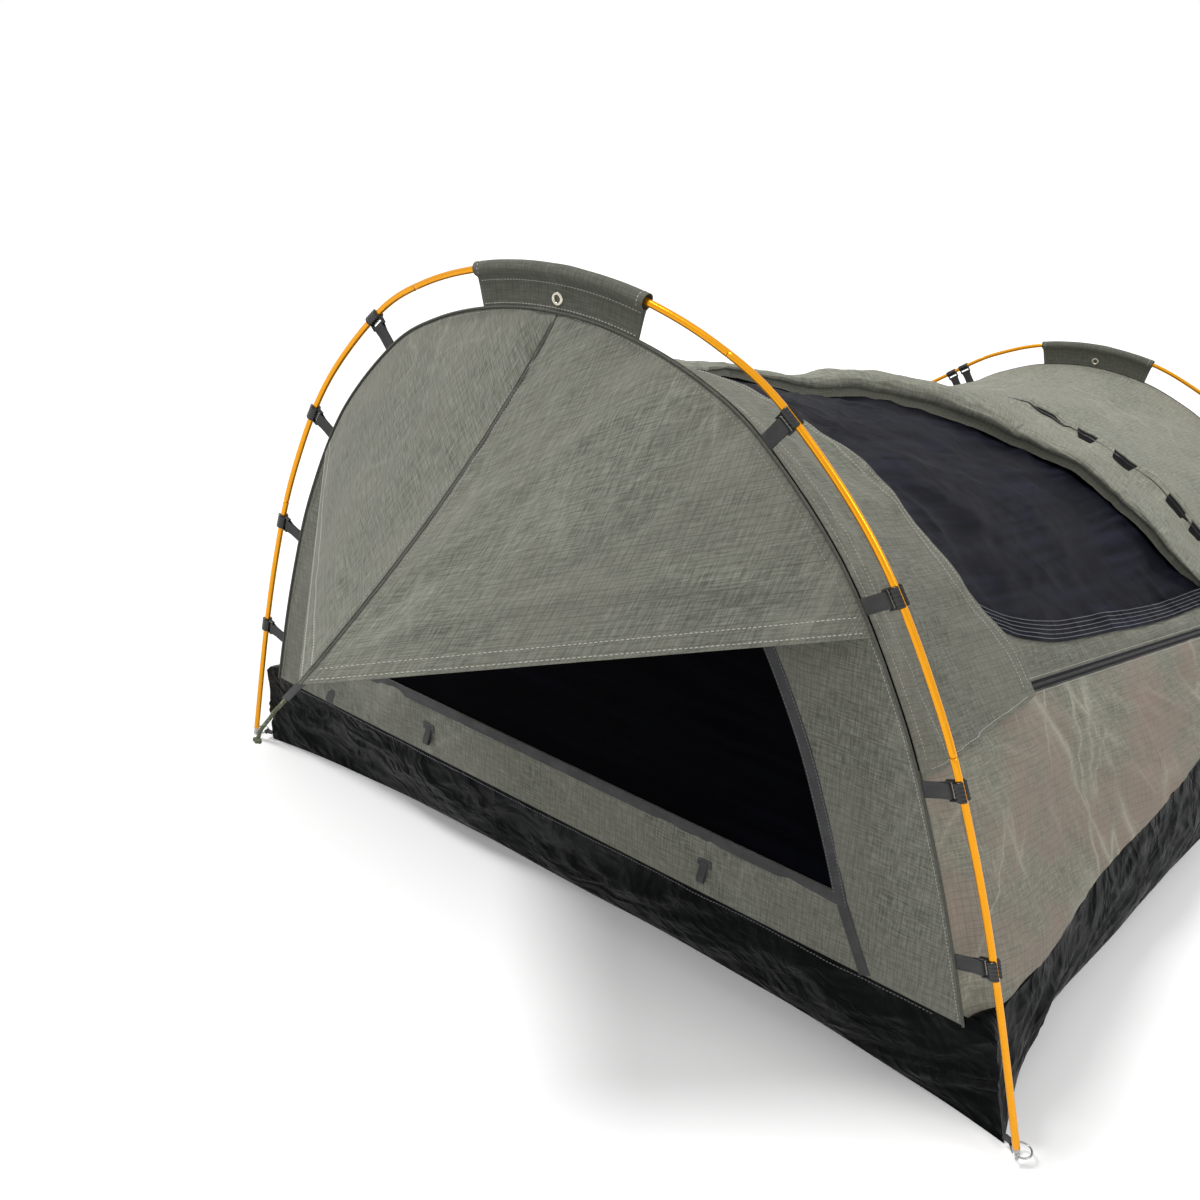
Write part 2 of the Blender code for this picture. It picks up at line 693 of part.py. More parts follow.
def pole_stations(line, sections, clips):
    """Distances along the hoop at which its poles may bend: not in clips, spigots or pins."""
    total = lengths_along(line)[-1]
    joints = [total * k / sections for k in range(1, sections)]
    straight = [(where - 0.6 * CLIP_LENGTH, where + 0.6 * CLIP_LENGTH) for where in clips]
    reach = SPIGOT_LENGTH + CLIP_WALL
    straight += [(j, j + reach) if j < total / 2 else (j - reach, j) for j in joints]
    pin = PIN_ROD_LENGTH + PIN_COLLAR_LENGTH + PIN_PLUG_LENGTH + CLIP_WALL
    straight += [(0.0, pin), (total - pin, total)]
    marks = [end for pair in straight for end in pair]
    margin = 0.3 * STATION_SPACING
    for where in np.linspace(0.0, total, int(total / STATION_SPACING) + 1):
        if not any(low - margin < where < high + margin for low, high in straight):
            marks.append(float(where))
    return joints, sorted(marks)


def bent_line(line, marks, y):
    """The places, runs and turns of a line that is straight between its stations."""
    spots = in_plane(at_length(line, np.array(marks)), y)
    runs = np.diff(spots, axis=0)
    runs /= np.linalg.norm(runs, axis=1)[:, None]
    turns = np.vstack([runs[:1], runs[:-1] + runs[1:], runs[-1:]])
    turns /= np.linalg.norm(turns, axis=1)[:, None]
    return spots, runs, turns


def pole_ring(centre, direction, radius):
    side = np.cross(ALONG, direction)
    return np.array([centre + a * ALONG + b * side for a, b in circle(radius, POLE_SIDES)])


def build_poles(end, line, sections, clips, y, pivot):
    joints, marks = pole_stations(line, sections, clips)
    spots, runs, turns = bent_line(line, marks, y)
    total = lengths_along(line)[-1]
    bore = POLE_RADIUS - POLE_WALL
    spigot = bore - FIT_CLEARANCE
    hole = spigot - SPIGOT_WALL
    ends = [0.0] + joints + [total]
    foot_gap = PIN_ROD_LENGTH + PIN_COLLAR_LENGTH
    for k in range(sections):
        first = int(np.argmin(np.abs(np.array(marks) - ends[k])))
        last = int(np.argmin(np.abs(np.array(marks) - ends[k + 1])))
        low_run, high_run = turns[first], turns[last]
        low = spots[first] + (foot_gap if k == 0 else SEAM_GAP / 2) * low_run
        high = spots[last] - (foot_gap if k == sections - 1 else SEAM_GAP / 2) * high_run
        path = [(low, low_run)] + [(spots[i], turns[i]) for i in range(first + 1, last)] + [(high, high_run)]
        outer = [pole_ring(spot, turn, POLE_RADIUS) for spot, turn in path]
        inner = [pole_ring(spot, turn, bore) for spot, turn in path]
        if k < sections - 1 and ends[k + 1] < total / 2:
            run = runs[last]
            tip = spots[last] + SPIGOT_LENGTH * run
            outer += [pole_ring(high, high_run, spigot), pole_ring(tip, run, spigot)]
            inner[-1:] = [pole_ring(high - SPIGOT_WALL * high_run, high_run, hole), pole_ring(tip, run, hole)]
        if k > 0 and ends[k] > total / 2:
            run = runs[first - 1]
            tip = spots[first] - SPIGOT_LENGTH * run
            outer[:0] = [pole_ring(tip, run, spigot), pole_ring(low, low_run, spigot)]
            inner[:1] = [pole_ring(tip, run, hole), pole_ring(low + SPIGOT_WALL * low_run, low_run, hole)]
        loft(f"{end}_pole_{k + 1}", outer + inner[::-1], "pole_alloy", pivot, True, 60.0)
    return spots, runs


def build_pins(end, spots, runs, pivot):
    """A stepped pin in each pole foot, with an eye round the ring's wire."""
    plug = POLE_RADIUS - POLE_WALL - FIT_CLEARANCE
    seat = PIN_ROD_LENGTH + PIN_COLLAR_LENGTH - FIT_CLEARANCE
    section = ((EYE_BORE, -0.5), (EYE_RADIUS, -0.5), (EYE_RADIUS, 0.5), (EYE_BORE, 0.5))
    steps = (
        ((EYE_BORE + EYE_RADIUS) / 2, PIN_ROD_RADIUS), (PIN_ROD_LENGTH, PIN_ROD_RADIUS),
        (PIN_ROD_LENGTH, PIN_COLLAR_RADIUS), (seat, PIN_COLLAR_RADIUS), (seat, plug),
        (seat + PIN_PLUG_LENGTH, plug),
    )
    for side, foot, run in (("left", spots[0], runs[0]), ("right", spots[-1], -runs[-1])):
        rings = [pole_ring(foot + where * run, run, radius) for where, radius in steps]
        pin = loft(f"{end}_pin_{side}", rings, "steel", pivot)
        eye = []
        for a, b in circle(1.0, 12):
            out = a * ALONG + b * UP
            eye.append(np.array([foot + radius * out + share * EYE_WIDTH * ACROSS for radius, share in section]))
        combine(pin, loft(f"{end}_pin_eye_{side}", eye, "steel", pivot, True), "UNION")


def clip_profile():
    """The clip's outline: an open C round the pole, a neck, and the webbing tab to the seam."""
    inner = POLE_RADIUS + FIT_CLEARANCE
    outer = inner + CLIP_WALL
    mouth = 180.0 - CLIP_MOUTH_DEG
    neck = math.degrees(math.asin(NECK_THICKNESS / 2 / outer))
    tab_end = CANVAS_GAP - CANVAS / 2 - 1.5 * SEAM_GAP
    half = [circle_point(outer, a) for a in np.linspace(mouth, neck, 5)]
    half += [(NECK_LENGTH, NECK_THICKNESS / 2), (NECK_LENGTH, TAB_THICKNESS / 2), (tab_end, TAB_THICKNESS / 2)]
    outline = half + [(a, -b) for a, b in half[::-1]]
    return outline + [circle_point(inner, a) for a in np.linspace(-mouth, mouth, 9)]


def inward_side(run):
    """Square to a hoop's run in its own plane, toward its inside."""
    side = np.cross(ALONG, run)
    return side if side[2] < 0.0 else -side


def build_clips(end, line, rises, clips, y, pivot):
    profile = clip_profile()
    names = [f"{side}_{k + 1}" for side in ("left", "right") for k in range(len(rises))]
    for name, where in zip(names, clips):
        reach = 0.6 * CLIP_LENGTH
        low, high = in_plane(at_length(line, np.array([where - reach, where + reach])), y)
        run = unit(high - low)
        axes = (inward_side(run), ALONG, run)
        prism(f"{end}_clip_{name}", profile, (low + high) / 2, axes, CLIP_LENGTH, "clip_plastic", pivot)


def build_sleeve(end, line, top_z, y, pivot):
    """The canvas sleeve over the crown, its tail sewn to the arch seam, with an eyelet through it."""
    middle = lengths_along(line)[-1] / 2
    places = np.linspace(middle - SLEEVE_HALF_WIDTH, middle + SLEEVE_HALF_WIDTH, SLEEVE_STATIONS)
    spots, _, turns = bent_line(line, list(places), y)
    tail_end = CANVAS_GAP - CANVAS / 2 - 1.5 * SEAM_GAP
    half = SLEEVE_TAIL / 2
    angles = [38.0 + (360.0 - 76.0) * k / 8 for k in range(9)]
    outer = [circle_point(SLEEVE_RADIUS, a) for a in angles]
    outer += [(1.35 * SLEEVE_RADIUS, -half), (tail_end, -half), (tail_end, half), (1.35 * SLEEVE_RADIUS, half)]
    inner = [circle_point(SLEEVE_BORE, a) for a in angles + [334.0, 348.0, 12.0, 26.0]]
    outside, inside = [], []
    for spot, turn in zip(spots, turns):
        inward = inward_side(turn)
        outside.append(np.array([spot + a * inward + b * ALONG for a, b in outer]))
        inside.append(np.array([spot + a * inward + b * ALONG for a, b in inner]))
    sleeve = loft(f"{end}_sleeve", outside + inside[::-1], "canvas", pivot, True)

    centre = np.array([0.0, y, top_z - EYELET_DROP])
    barrel = EYELET_BORE + EYELET_WALL
    axes = (ACROSS, UP, ALONG)
    hole = circle(barrel + FIT_CLEARANCE, 12)
    combine(sleeve, prism(f"{end}_eyelet_hole", hole, centre, axes, 4.0 * SLEEVE_TAIL, "steel", pivot), "DIFFERENCE")
    face = half + FIT_CLEARANCE
    section = (
        (EYELET_BORE, -face - EYELET_LIP), (EYELET_FLANGE, -face - EYELET_LIP / 2), (EYELET_FLANGE, -face),
        (barrel, -face), (barrel, face), (EYELET_FLANGE, face), (EYELET_FLANGE, face + EYELET_LIP / 2),
        (EYELET_BORE, face + EYELET_LIP),
    )
    rings = []
    for a, b in circle(1.0, 12):
        out = a * ACROSS + b * UP
        rings.append(np.array([centre + radius * out + depth * ALONG for radius, depth in section]))
    loft(f"{end}_eyelet", rings, "nickel", pivot, True)


def build_hoop(end, line, sections, rises, top_z, y, pivot):
    clips = clip_places(line, rises)
    spots, runs = build_poles(end, line, sections, clips, y, pivot)
    build_pins(end, spots, runs, pivot)
    build_clips(end, line, rises, clips, y, pivot)
    build_sleeve(end, line, top_z, y, pivot)


# End walls, window, awning


def arch_outline(line, distance, low_z, arch_count=37, sill_count=11):
    """A closed outline: the arch at this inset from the hoop, then back along the level below."""
    arch = even(above(inset(line, distance), low_z), arch_count)
    return np.vstack([arch, np.linspace(arch[-1], arch[0], sill_count + 2)[1:-1]])


def outline_ring(name, line, outer, inner, front, back, slot, pivot):
    """A flat frame between two arch outlines, from one depth in Y to the other."""
    rings = []
    for p, q in zip(arch_outline(line, *outer), arch_outline(line, *inner)):
        rings.append(np.array([(p[0], front, p[1]), (q[0], front, q[1]), (q[0], back, q[1]), (p[0], back, p[1])]))
    return loft(name, rings, slot, pivot, True)


def outline_plate(name, line, outer, front, back, slot, pivot):
    flat = arch_outline(line, *outer)
    return loft(name, [in_plane(flat, front), in_plane(flat, back)], slot, pivot)


def build_head_wall(pivot):
    front, back = -HALF_LENGTH - CANVAS / 2, -HALF_LENGTH + CANVAS / 2
    wall = (CANVAS_GAP - CANVAS / 2, TUB_SEAM_Z + SEAM_GAP)
    window = (WINDOW_INSET, WINDOW_SILL_Z)
    mesh = (WINDOW_INSET + SEAM_GAP, WINDOW_SILL_Z + SEAM_GAP)
    tape = (WINDOW_INSET - TAPE_WIDTH, WINDOW_SILL_Z - TAPE_WIDTH)
    outline_ring("head_wall", HEAD_LINE, wall, window, front, back, "canvas", pivot)
    outline_plate("window_mesh", HEAD_LINE, mesh, -HALF_LENGTH - MESH / 2, -HALF_LENGTH + MESH / 2, "mesh", pivot)
    tape_back = front - FIT_CLEARANCE
    outline_ring("window_tape", HEAD_LINE, tape, window, tape_back - TAPE_THICKNESS, tape_back, "webbing", pivot)

    reach, thick, drop = SILL_LOOP_REACH, SILL_LOOP_THICKNESS, SILL_LOOP_DROP / 2
    outside = [(0.0, drop), (0.55 * reach, drop), (reach, 0.5 * drop)]
    inside = [(0.0, drop - thick), (0.5 * reach, drop - thick), (reach - thick, 0.4 * drop)]
    profile = outside + [(a, -b) for a, b in outside[::-1]] + [(a, -b) for a, b in inside] + inside[::-1]
    for name, sign in (("sill_loop_left", -1.0), ("sill_loop_right", 1.0)):
        centre = np.array([sign * SILL_LOOP_X, front - FIT_CLEARANCE, SILL_LOOP_Z])
        prism(name, profile, centre, (-ALONG, UP, ACROSS), SILL_LOOP_WIDTH, "webbing", pivot)


def build_foot_wall(pivot):
    wall = (CANVAS_GAP - CANVAS / 2, TUB_SEAM_Z + SEAM_GAP)
    outline_plate("foot_wall", FOOT_LINE, wall, HALF_LENGTH - CANVAS / 2, HALF_LENGTH + CANVAS / 2, "canvas", pivot)


def ridge_point(share):
    """The awning's ridge, from the crown seam to the peak."""
    start = np.array([0.0, -HALF_LENGTH - CANVAS / 2 - AWNING_WALL_GAP, HEAD_TOP_Z - CANVAS_GAP - CANVAS])
    end = np.array([0.0, -HALF_LENGTH - AWNING_REACH, AWNING_PEAK_Z])
    return start + share * (end - start) - AWNING_SAG * math.sin(math.pi * share**0.85) * UP


def build_awning(pivot, rows=12, columns=7):
    """Two panels from the arch seam to a ridge, their free hems running from the peak to the corners."""
    seam = inset(HEAD_LINE, CANVAS_GAP + CANVAS)
    half = seam[len(seam) // 2 :]
    corner = float(np.interp(-AWNING_CORNER_Z, -half[:, 1], lengths_along(half)))
    wall_y = -HALF_LENGTH - CANVAS / 2 - AWNING_WALL_GAP
    for name, sign in (("awning_left", -1.0), ("awning_right", 1.0)):
        grid = np.zeros((rows, columns, 3))
        for i, share in enumerate(np.linspace(0.05, 1.0, rows)):
            x, z = at_length(half, share * corner)
            on_seam, on_ridge = np.array([x, wall_y, z]), ridge_point(share)
            for j, u in enumerate(np.linspace(0.0, 1.0, columns)):
                belly = AWNING_BELLY * math.sin(math.pi * u) * math.sin(math.pi * share)
                point = on_ridge + u * (on_seam - on_ridge) + belly * unit((0.5, -0.6, 0.6))
                grid[i, j] = point + SEAM_GAP / 2 * (1.0 - u) * ACROSS
        grid[:, :, 0] *= sign
        normals = np.cross(np.gradient(grid, axis=1), np.gradient(grid, axis=0))
        # At the ridge and at the wall the sheet's edge lies square to the plane that it meets
        normals[:, 0, 0] = 0.0
        normals[:, -1, 1] = 0.0
        normals /= np.linalg.norm(normals, axis=2)[:, :, None]
        sheet(name, grid, normals, -CANVAS / 2, CANVAS / 2, "canvas", pivot)

    run = unit((0.0, -2.0, -1.0))
    start = ridge_point(1.0) + 1.25 * SEAM_GAP * run
    half_width, half_thick = TIE_WIDTH / 2, TIE_THICKNESS / 2
    profile = [(a * half_width, b * half_thick) for a, b in ((-1, -1), (1, -1), (1, 1), (-1, 1))]
    axes = (ACROSS, np.cross(ACROSS, run), run)
    prism("awning_webbing", profile, start + TIE_LENGTH / 2 * run, axes, TIE_LENGTH, "webbing", pivot)
    build_tie_cord(start + (TIE_LENGTH + 1.5 * FIT_CLEARANCE) * run, pivot)


def build_tie_cord(start, pivot):
    """The knotted end of cord on the awning's peak, left free."""
    route = even(smooth_path(TIE_ROUTE), TIE_POINTS)
    curve = bpy.data.curves.new("awning_cord", "CURVE")
    curve.dimensions = "3D"
    curve.bevel_depth = TIE_CORD_RADIUS
    curve.bevel_resolution = 2
    curve.use_fill_caps = True
    spline = curve.splines.new("POLY")
    spline.points.add(TIE_POINTS - 1)
    for point, place in zip(spline.points, route):
        point.co = (*(start + place - np.array(pivot.location)), 1.0)
    curve.materials.append(material("cord"))
    obj = bpy.data.objects.new("awning_cord", curve)
    bpy.context.collection.objects.link(obj)
    obj.parent = pivot


# Door


def surface_frame(path, k):
    """A place on the canopy and the shares that move it a metre to the left of the path."""
    t, v = path[k]
    run = unit(canopy(*path[min(k + 1, len(path) - 1)]) - canopy(*path[max(k - 1, 0)]))
    along, across = tangents(t, v)
    leftward = np.cross(unit(np.cross(across, along)), run)
    return (t, v), np.linalg.lstsq(np.column_stack([along, across]), leftward, rcond=None)[0]


def over_canopy(place, shares, leftward, height):
    t = min(max(place[0] + leftward * shares[0], 0.0), 1.0)
    v = min(max(place[1] + leftward * shares[1], -1.0), 1.0)
    return canopy(t, v) + (CANVAS / 2 + ROLL_LIFT + height) * canopy_normal(t, v)


def build_door_flap():
    """The canvas flap: rolled along the crest and down across the rear, its zip edge flat behind."""
    path = even(smooth_path(ROLL_PATH_shares), ROLL_STATIONS)
    flap, tape = [], []
    for k in range(len(path)):
        share = k / (len(path) - 1)
        place, shares = surface_frame(path, k)
        size = on_table(ROLL_SIZE_shares, share)
        width = ROLL_WIDTH * (0.35 + 0.65 * size)
        height = ROLL_HEIGHT * size * on_table(ROLL_FLATTEN_shares, share)
        tail = FLAP_TAIL * on_table(TAIL_SIZE_shares, share)
        back = ROLL_SECTION_shares[-1][0] * width
        section = [(a * width, b * height) for a, b in ROLL_SECTION_shares]
        section += [(back + 0.5 * tail, FLAP_THICKNESS), (back + tail, FLAP_THICKNESS), (back + tail, 0.0)]
        section += [(back + 0.5 * tail, 0.0), (back, 0.0), (0.5 * back, 0.0), (0.0, 0.0), (-0.4 * back, 0.0)]
        flap.append(np.array([over_canopy(place, shares, a, b) for a, b in section]))
        near = back + tail + SEAM_GAP
        far = near + FLAP_TAPE_WIDTH
        section = ((near, ZIP_THICKNESS), (far, ZIP_THICKNESS), (far, 0.0), (near, 0.0))
        tape.append(np.array([over_canopy(place, shares, a, b) for a, b in section]))
    loft("door_flap", flap, "canvas", smooth_deg=60.0)
    loft("flap_zip_tape", tape[int(FLAP_TAPE_START_share * len(tape)) :], "zip")


def build_zip():
    """The lower zip, straight along the door's sill, and its slider parked at the foot end."""
    run = unit(ZIP_FOOT - ZIP_HEAD)
    mid = 0.5 * (ZIP_HEAD_shares[0] + ZIP_FOOT_shares[0])
    normal = canopy_normal(mid, zip_share(mid))
    normal = unit(normal - np.dot(normal, run) * run)
    side = np.cross(run, normal)
    axes = (side, normal, run)
    length = np.linalg.norm(ZIP_FOOT - ZIP_HEAD) - 2.0 * SEAM_GAP
    half, coil, top = ZIP_HALF_WIDTH, COIL_HALF_WIDTH, ZIP_THICKNESS / 2
    right = [(half, -top), (half, top), (coil, top), (0.7 * coil, top + COIL_HEIGHT)]
    profile = right + [(-a, b) for a, b in right[::-1]]
    prism("door_zip_tape", profile, (ZIP_HEAD + ZIP_FOOT) / 2, axes, length, "zip")

    rest = ZIP_FOOT - SLIDER_END_GAP * run
    pivot = pivot_empty("zip_slider_place", rest)
    low, inside = top + FIT_CLEARANCE, top + COIL_HEIGHT + FIT_CLEARANCE
    roof = inside + SLIDER_ROOF
    wide, slot = SLIDER_HALF_WIDTH, COIL_HALF_WIDTH + FIT_CLEARANCE
    right = [(slot, inside), (slot, low), (wide, low), (wide, 0.6 * roof + 0.4 * low), (0.6 * wide, roof)]
    profile = right + [(-a, b) for a, b in right[::-1]]
    slider = prism("door_zip_slider", profile, rest, axes, SLIDER_LENGTH, "steel", pivot)
    thick = PULL_HALF_THICKNESS
    pull = [(a * PULL_HALF_WIDTH, b * thick) for a, b in ((-1, -1), (1, -1), (1, 1), (-1, 1))]
    lean = unit(0.05 * normal - run)
    start = rest + (roof + 0.5 * thick) * normal - 0.2 * SLIDER_LENGTH * run
    axes = (side, np.cross(lean, side), lean)
    tab = prism("zip_slider_pull", pull, start + PULL_LENGTH / 2 * lean, axes, PULL_LENGTH, "steel", pivot)
    combine(slider, tab, "UNION")


def main():
    clear_scene()
    head = pivot_empty("head_hoop_axis", (0.0, -HALF_LENGTH, PIVOT_Z))
    foot = pivot_empty("foot_hoop_axis", (0.0, HALF_LENGTH, PIVOT_Z))
    build_canopy()
    build_floor()
    build_mattress()
    build_corners()
    build_hoop("head", HEAD_LINE, HEAD_SECTIONS, HEAD_CLIP_shares, HEAD_TOP_Z, -HALF_LENGTH, head)
    build_hoop("foot", FOOT_LINE, FOOT_SECTIONS, FOOT_CLIP_shares, FOOT_TOP_Z, HALF_LENGTH, foot)
    build_head_wall(head)
    build_foot_wall(foot)
    build_awning(head)
    build_door_flap()
    build_zip()


main()
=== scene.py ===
import math

import bmesh
import bpy
import numpy as np
from mathutils import Matrix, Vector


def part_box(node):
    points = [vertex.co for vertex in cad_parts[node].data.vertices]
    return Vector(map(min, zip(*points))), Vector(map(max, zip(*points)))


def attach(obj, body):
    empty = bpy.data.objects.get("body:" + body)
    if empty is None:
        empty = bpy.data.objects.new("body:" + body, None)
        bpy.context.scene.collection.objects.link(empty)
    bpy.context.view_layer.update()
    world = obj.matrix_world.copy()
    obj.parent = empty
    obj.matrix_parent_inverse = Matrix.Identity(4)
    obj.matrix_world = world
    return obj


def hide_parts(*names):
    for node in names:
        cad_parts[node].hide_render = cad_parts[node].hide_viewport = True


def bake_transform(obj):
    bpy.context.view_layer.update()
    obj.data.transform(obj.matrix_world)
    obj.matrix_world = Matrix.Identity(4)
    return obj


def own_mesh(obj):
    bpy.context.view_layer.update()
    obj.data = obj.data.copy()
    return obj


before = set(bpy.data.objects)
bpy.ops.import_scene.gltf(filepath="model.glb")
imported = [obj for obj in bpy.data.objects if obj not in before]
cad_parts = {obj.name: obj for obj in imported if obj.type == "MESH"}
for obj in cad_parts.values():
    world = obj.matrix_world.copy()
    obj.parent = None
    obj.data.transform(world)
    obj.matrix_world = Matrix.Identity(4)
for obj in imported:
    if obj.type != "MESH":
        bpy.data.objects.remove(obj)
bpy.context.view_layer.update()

# A canvas bedroll tent on two sprung pole hoops: every piece in the CAD's frame, in metres.

# The sizes that the CAD was built to
HOOP_HALF_SPAN, HALF_LENGTH, PIVOT_Z = 0.750, 1.030, 0.014
LENGTH = 2 * HALF_LENGTH
HEAD_TOP_Z, FOOT_TOP_Z = 0.975, 0.495
HEAD_HOOP = (
    (1.0, 0.0), (0.917, 0.235), (0.843, 0.415), (0.756, 0.581),
    (0.625, 0.753), (0.455, 0.888), (0.319, 0.950), (0.160, 0.988),
)
FOOT_HOOP = (
    (1.0, 0.0), (0.900, 0.190), (0.790, 0.375), (0.675, 0.535),
    (0.547, 0.672), (0.448, 0.779), (0.347, 0.872), (0.189, 0.965),
)
POLE_RADIUS = 0.00475
CANVAS_GAP, TUB_SEAM_Z = 0.050, 0.165
CANOPY_SAG, SEAM_BULGE, SEAM_DENT = 0.095, 0.072, 0.032
DENT_PLACE, DENT_WIDTH, FOLD_DEPTH, FOLD_COUNT = 0.19, 0.09, 0.010, 9
BAND_REAR, RIDGE, LEFT_WALL, HEM_WIDTH = 0.130, -0.120, -0.740, 0.034
HEM = ((0.130, 0.560), (0.158, 0.605), (0.217, 0.655), (0.355, 0.720), (0.600, 0.830))
ZIP_HEAD_PLACE, ZIP_FOOT_PLACE = (0.160, 0.692), (0.600, 0.888)
WINDOW_INSET, WINDOW_SILL_Z, TAPE_WIDTH = 0.205, 0.271, 0.018
AWNING_REACH, AWNING_PEAK_Z, AWNING_CORNER_Z = 0.439, 0.578, 0.632
AWNING_SAG, AWNING_BELLY = 0.027, 0.012
SILL_LOOP_X, SILL_LOOP_Z = 0.270, 0.205
TIE_ROUTE = (
    (0.0000, 0.0000, 0.0000), (0.0004, -0.0075, -0.0040), (-0.0006, -0.0150, -0.0084),
    (0.0007, -0.0225, -0.0130), (0.0002, -0.0298, -0.0182), (-0.0007, -0.0362, -0.0245),
    (0.0003, -0.0408, -0.0320),
)
SLEEVE_HALF, SLEEVE_RADIUS, EYELET_DROP = 0.140, 0.0098, 0.033
HEAD_CLIPS, FOOT_CLIPS = (0.8835, 0.7045, 0.4870, 0.2622), (0.7670, 0.7210)
CORNER_X, CORNER_Y, EAR_REACH, EAR_Y, END_BOW = 0.726, 1.009, 0.042, 1.0275, 0.040
PVC, WALL_BILLOW, BILLOW_Z = 0.0030, 0.012, 0.080
FLOOR_SIDE = (
    (0.0, 1.0), (0.035, 0.972), (0.10, 0.928), (0.15, 0.928), (0.25, 0.950), (0.35, 0.966),
    (0.42, 0.985), (0.60, 0.985), (0.80, 0.955), (0.90, 0.940), (0.965, 0.968), (1.0, 1.0),
)
RING_RADIUS, RING_WIRE = 0.0125, 0.0013
ROLL_PATH = (
    (0.120, 0.020), (0.200, -0.055), (0.320, -0.075), (0.420, -0.040),
    (0.500, 0.090), (0.538, 0.280), (0.550, 0.480), (0.558, 0.660), (0.580, 0.815),
)
ROLL_SIZE = (
    (0.0, 0.13), (0.15, 0.18), (0.19, 0.29), (0.225, 0.44), (0.263, 0.56), (0.30, 0.63), (0.41, 0.67),
    (0.50, 0.86), (0.60, 1.0), (0.75, 0.92), (1.0, 0.62),
)
ROLL_FLATTEN = (
    (0.0, 1.0), (0.38, 1.0), (0.46, 0.75), (0.52, 0.52), (0.60, 0.42), (0.85, 0.40), (1.0, 0.50),
)
TAPE_SHOWS = ((1.098, 1.134), (1.170, 1.224), (1.300, 1.372), (1.392, 1.440))
TAIL_SIZE = (
    (0.0, 0.04), (0.22, 0.12), (0.34, 0.85), (0.42, 1.75), (0.49, 2.50),
    (0.54, 2.15), (0.62, 1.20), (0.72, 0.85), (1.0, 0.50),
)
ROLL_HEIGHT, ROLL_WIDTH, FLAP_TAIL = 0.072, 0.112, 0.130

# What this script adds: the view, the light, and the cloth's fineness
CAMERA_ANGLES, CAMERA_PLACE = (39.046, 25.483, 1.171), (1.0545, -2.2356, 1.2920)
CAMERA_LENS, CAMERA_SENSOR = 38.57, 36.0
SUNS = (("key", 1.60, 14.0, (-0.44, -0.20, 0.87)), ("side", 0.72, 25.0, (0.76, 0.05, 0.65)))
SKY_TOWARD, SKY_FROM, SKY_TO = (-0.30, -0.36, 0.88), (-0.35, 0.95), (0.20, 0.86)
WHITE = (1.0, 1.0, 1.0, 1.0)
FLOOR_REACH, FLOOR_Z = 60, -0.0006
SHEET_PITCH, HEM_PITCH = 0.0078, 0.0035
TUB_SIDE_COUNT, TUB_END_COUNT, ARCH_COUNT = 220, 150, 221
WALL_LAP, WALL_CLOTH, BINDING_RADIUS = 0.0004, 0.0011, 0.0019
CORD_RADIUS, KNOT_SIZE, KNOT_RADIUS = 0.0024, 0.00125, 0.0019
SILL_LOOP_ROUTE = (
    (0.0010, 0.014), (0.0030, 0.004), (0.0085, -0.008), (0.0092, -0.014),
    (0.0070, -0.0165), (0.0030, -0.012), (0.0014, -0.002), (0.0002, 0.008),
)
PIN_STEPS = (
    (0.0036, 0.0020), (0.0088, 0.0020), (0.0089, 0.0040), (0.0092, 0.0043),
    (0.0116, 0.0043), (0.0119, 0.0040), (0.0121, 0.0034), (0.030, 0.0034),
)
EYELET_SECTION = (
    (0.0044, -0.0010), (0.0046, -0.0026), (0.0060, -0.0032), (0.0078, -0.0030), (0.0091, -0.0020),
    (0.0091, -0.0016), (0.0058, -0.0014), (0.0058, 0.0014), (0.0091, 0.0016), (0.0091, 0.0020),
    (0.0078, 0.0030), (0.0060, 0.0032), (0.0046, 0.0026), (0.0044, 0.0010),
)
# Half of each zip section, as (across, up)
ZIP_SECTION = (
    (0.0080, -0.0005), (0.0080, 0.0004), (0.0074, 0.0008), (0.0056, 0.0006), (0.0034, 0.0007), (0.0026, 0.0012),
    (0.0012, 0.0020),
)
SLIDER_SECTION = (
    (0.0029, 0.0031), (0.0029, 0.0009), (0.0056, 0.0009), (0.0062, 0.0016), (0.0060, 0.0032), (0.0044, 0.0043),
    (0.0022, 0.0046),
)
# The flap's zip: its cloth coordinates, then across and up. Its guard: across, up, lift with the tilt, share
# of the swell
TAPE_GIRTH = np.array([0.0, 0.0045, 0.0075, 0.0090, 0.0120, 0.0150, 0.0170, 0.0230, 0.0320])
TAPE_SECTION = np.array([
    [0.0, 0.0045, 0.0075, 0.0090, 0.0120, 0.0150, 0.0150, 0.0090, 0.0],
    [0.0034, 0.0036, 0.0046, 0.0048, 0.0038, 0.0034, 0.0022, 0.0022, 0.0022],
])
GUARD_SECTION = np.array([
    [0.0154, 0.0162, 0.0215, 0.0290, 0.0370, 0.0450, 0.0450, 0.0154],
    [0.0034, 0.0042, 0.0044, 0.0042, 0.0036, 0.0026, 0.0003, 0.0003],
    [0.0154, 0.0170, 0.0200, 0.0165, 0.0085, 0.0, 0.0, 0.0],
    [0.2, 0.6, 1.0, 1.0, 0.6, 0.3, 0.0, 0.0],
])
MATTRESS_INSET, PIPING_RADIUS, PUFF_FRAMES, PUFF_LIMIT = 0.004, 0.0022, 20, 0.009
AWNING_LENGTH, AWNING_ROWS, AWNING_COLUMNS, PEAK_TAB_LENGTH = 0.55, 92, 84, 0.022
CLIP_HALF, CLIP_MOUTH, CLIP_WEBBING, SLEEVE_STATIONS = 0.0130, 32.0, 0.0325, 66
ROLL_STATIONS, ROLL_FOLD, ROLL_DRAG, COVER_WIDTH, ZIP_TILT = 230, 0.0052, 0.0022, 0.0185, 0.95
ZIP_GAP, ZIP_HALF_WIDTH = 0.0004, 0.0070
STITCH_LIFT, SILL_COUNT = 0.0001, 101
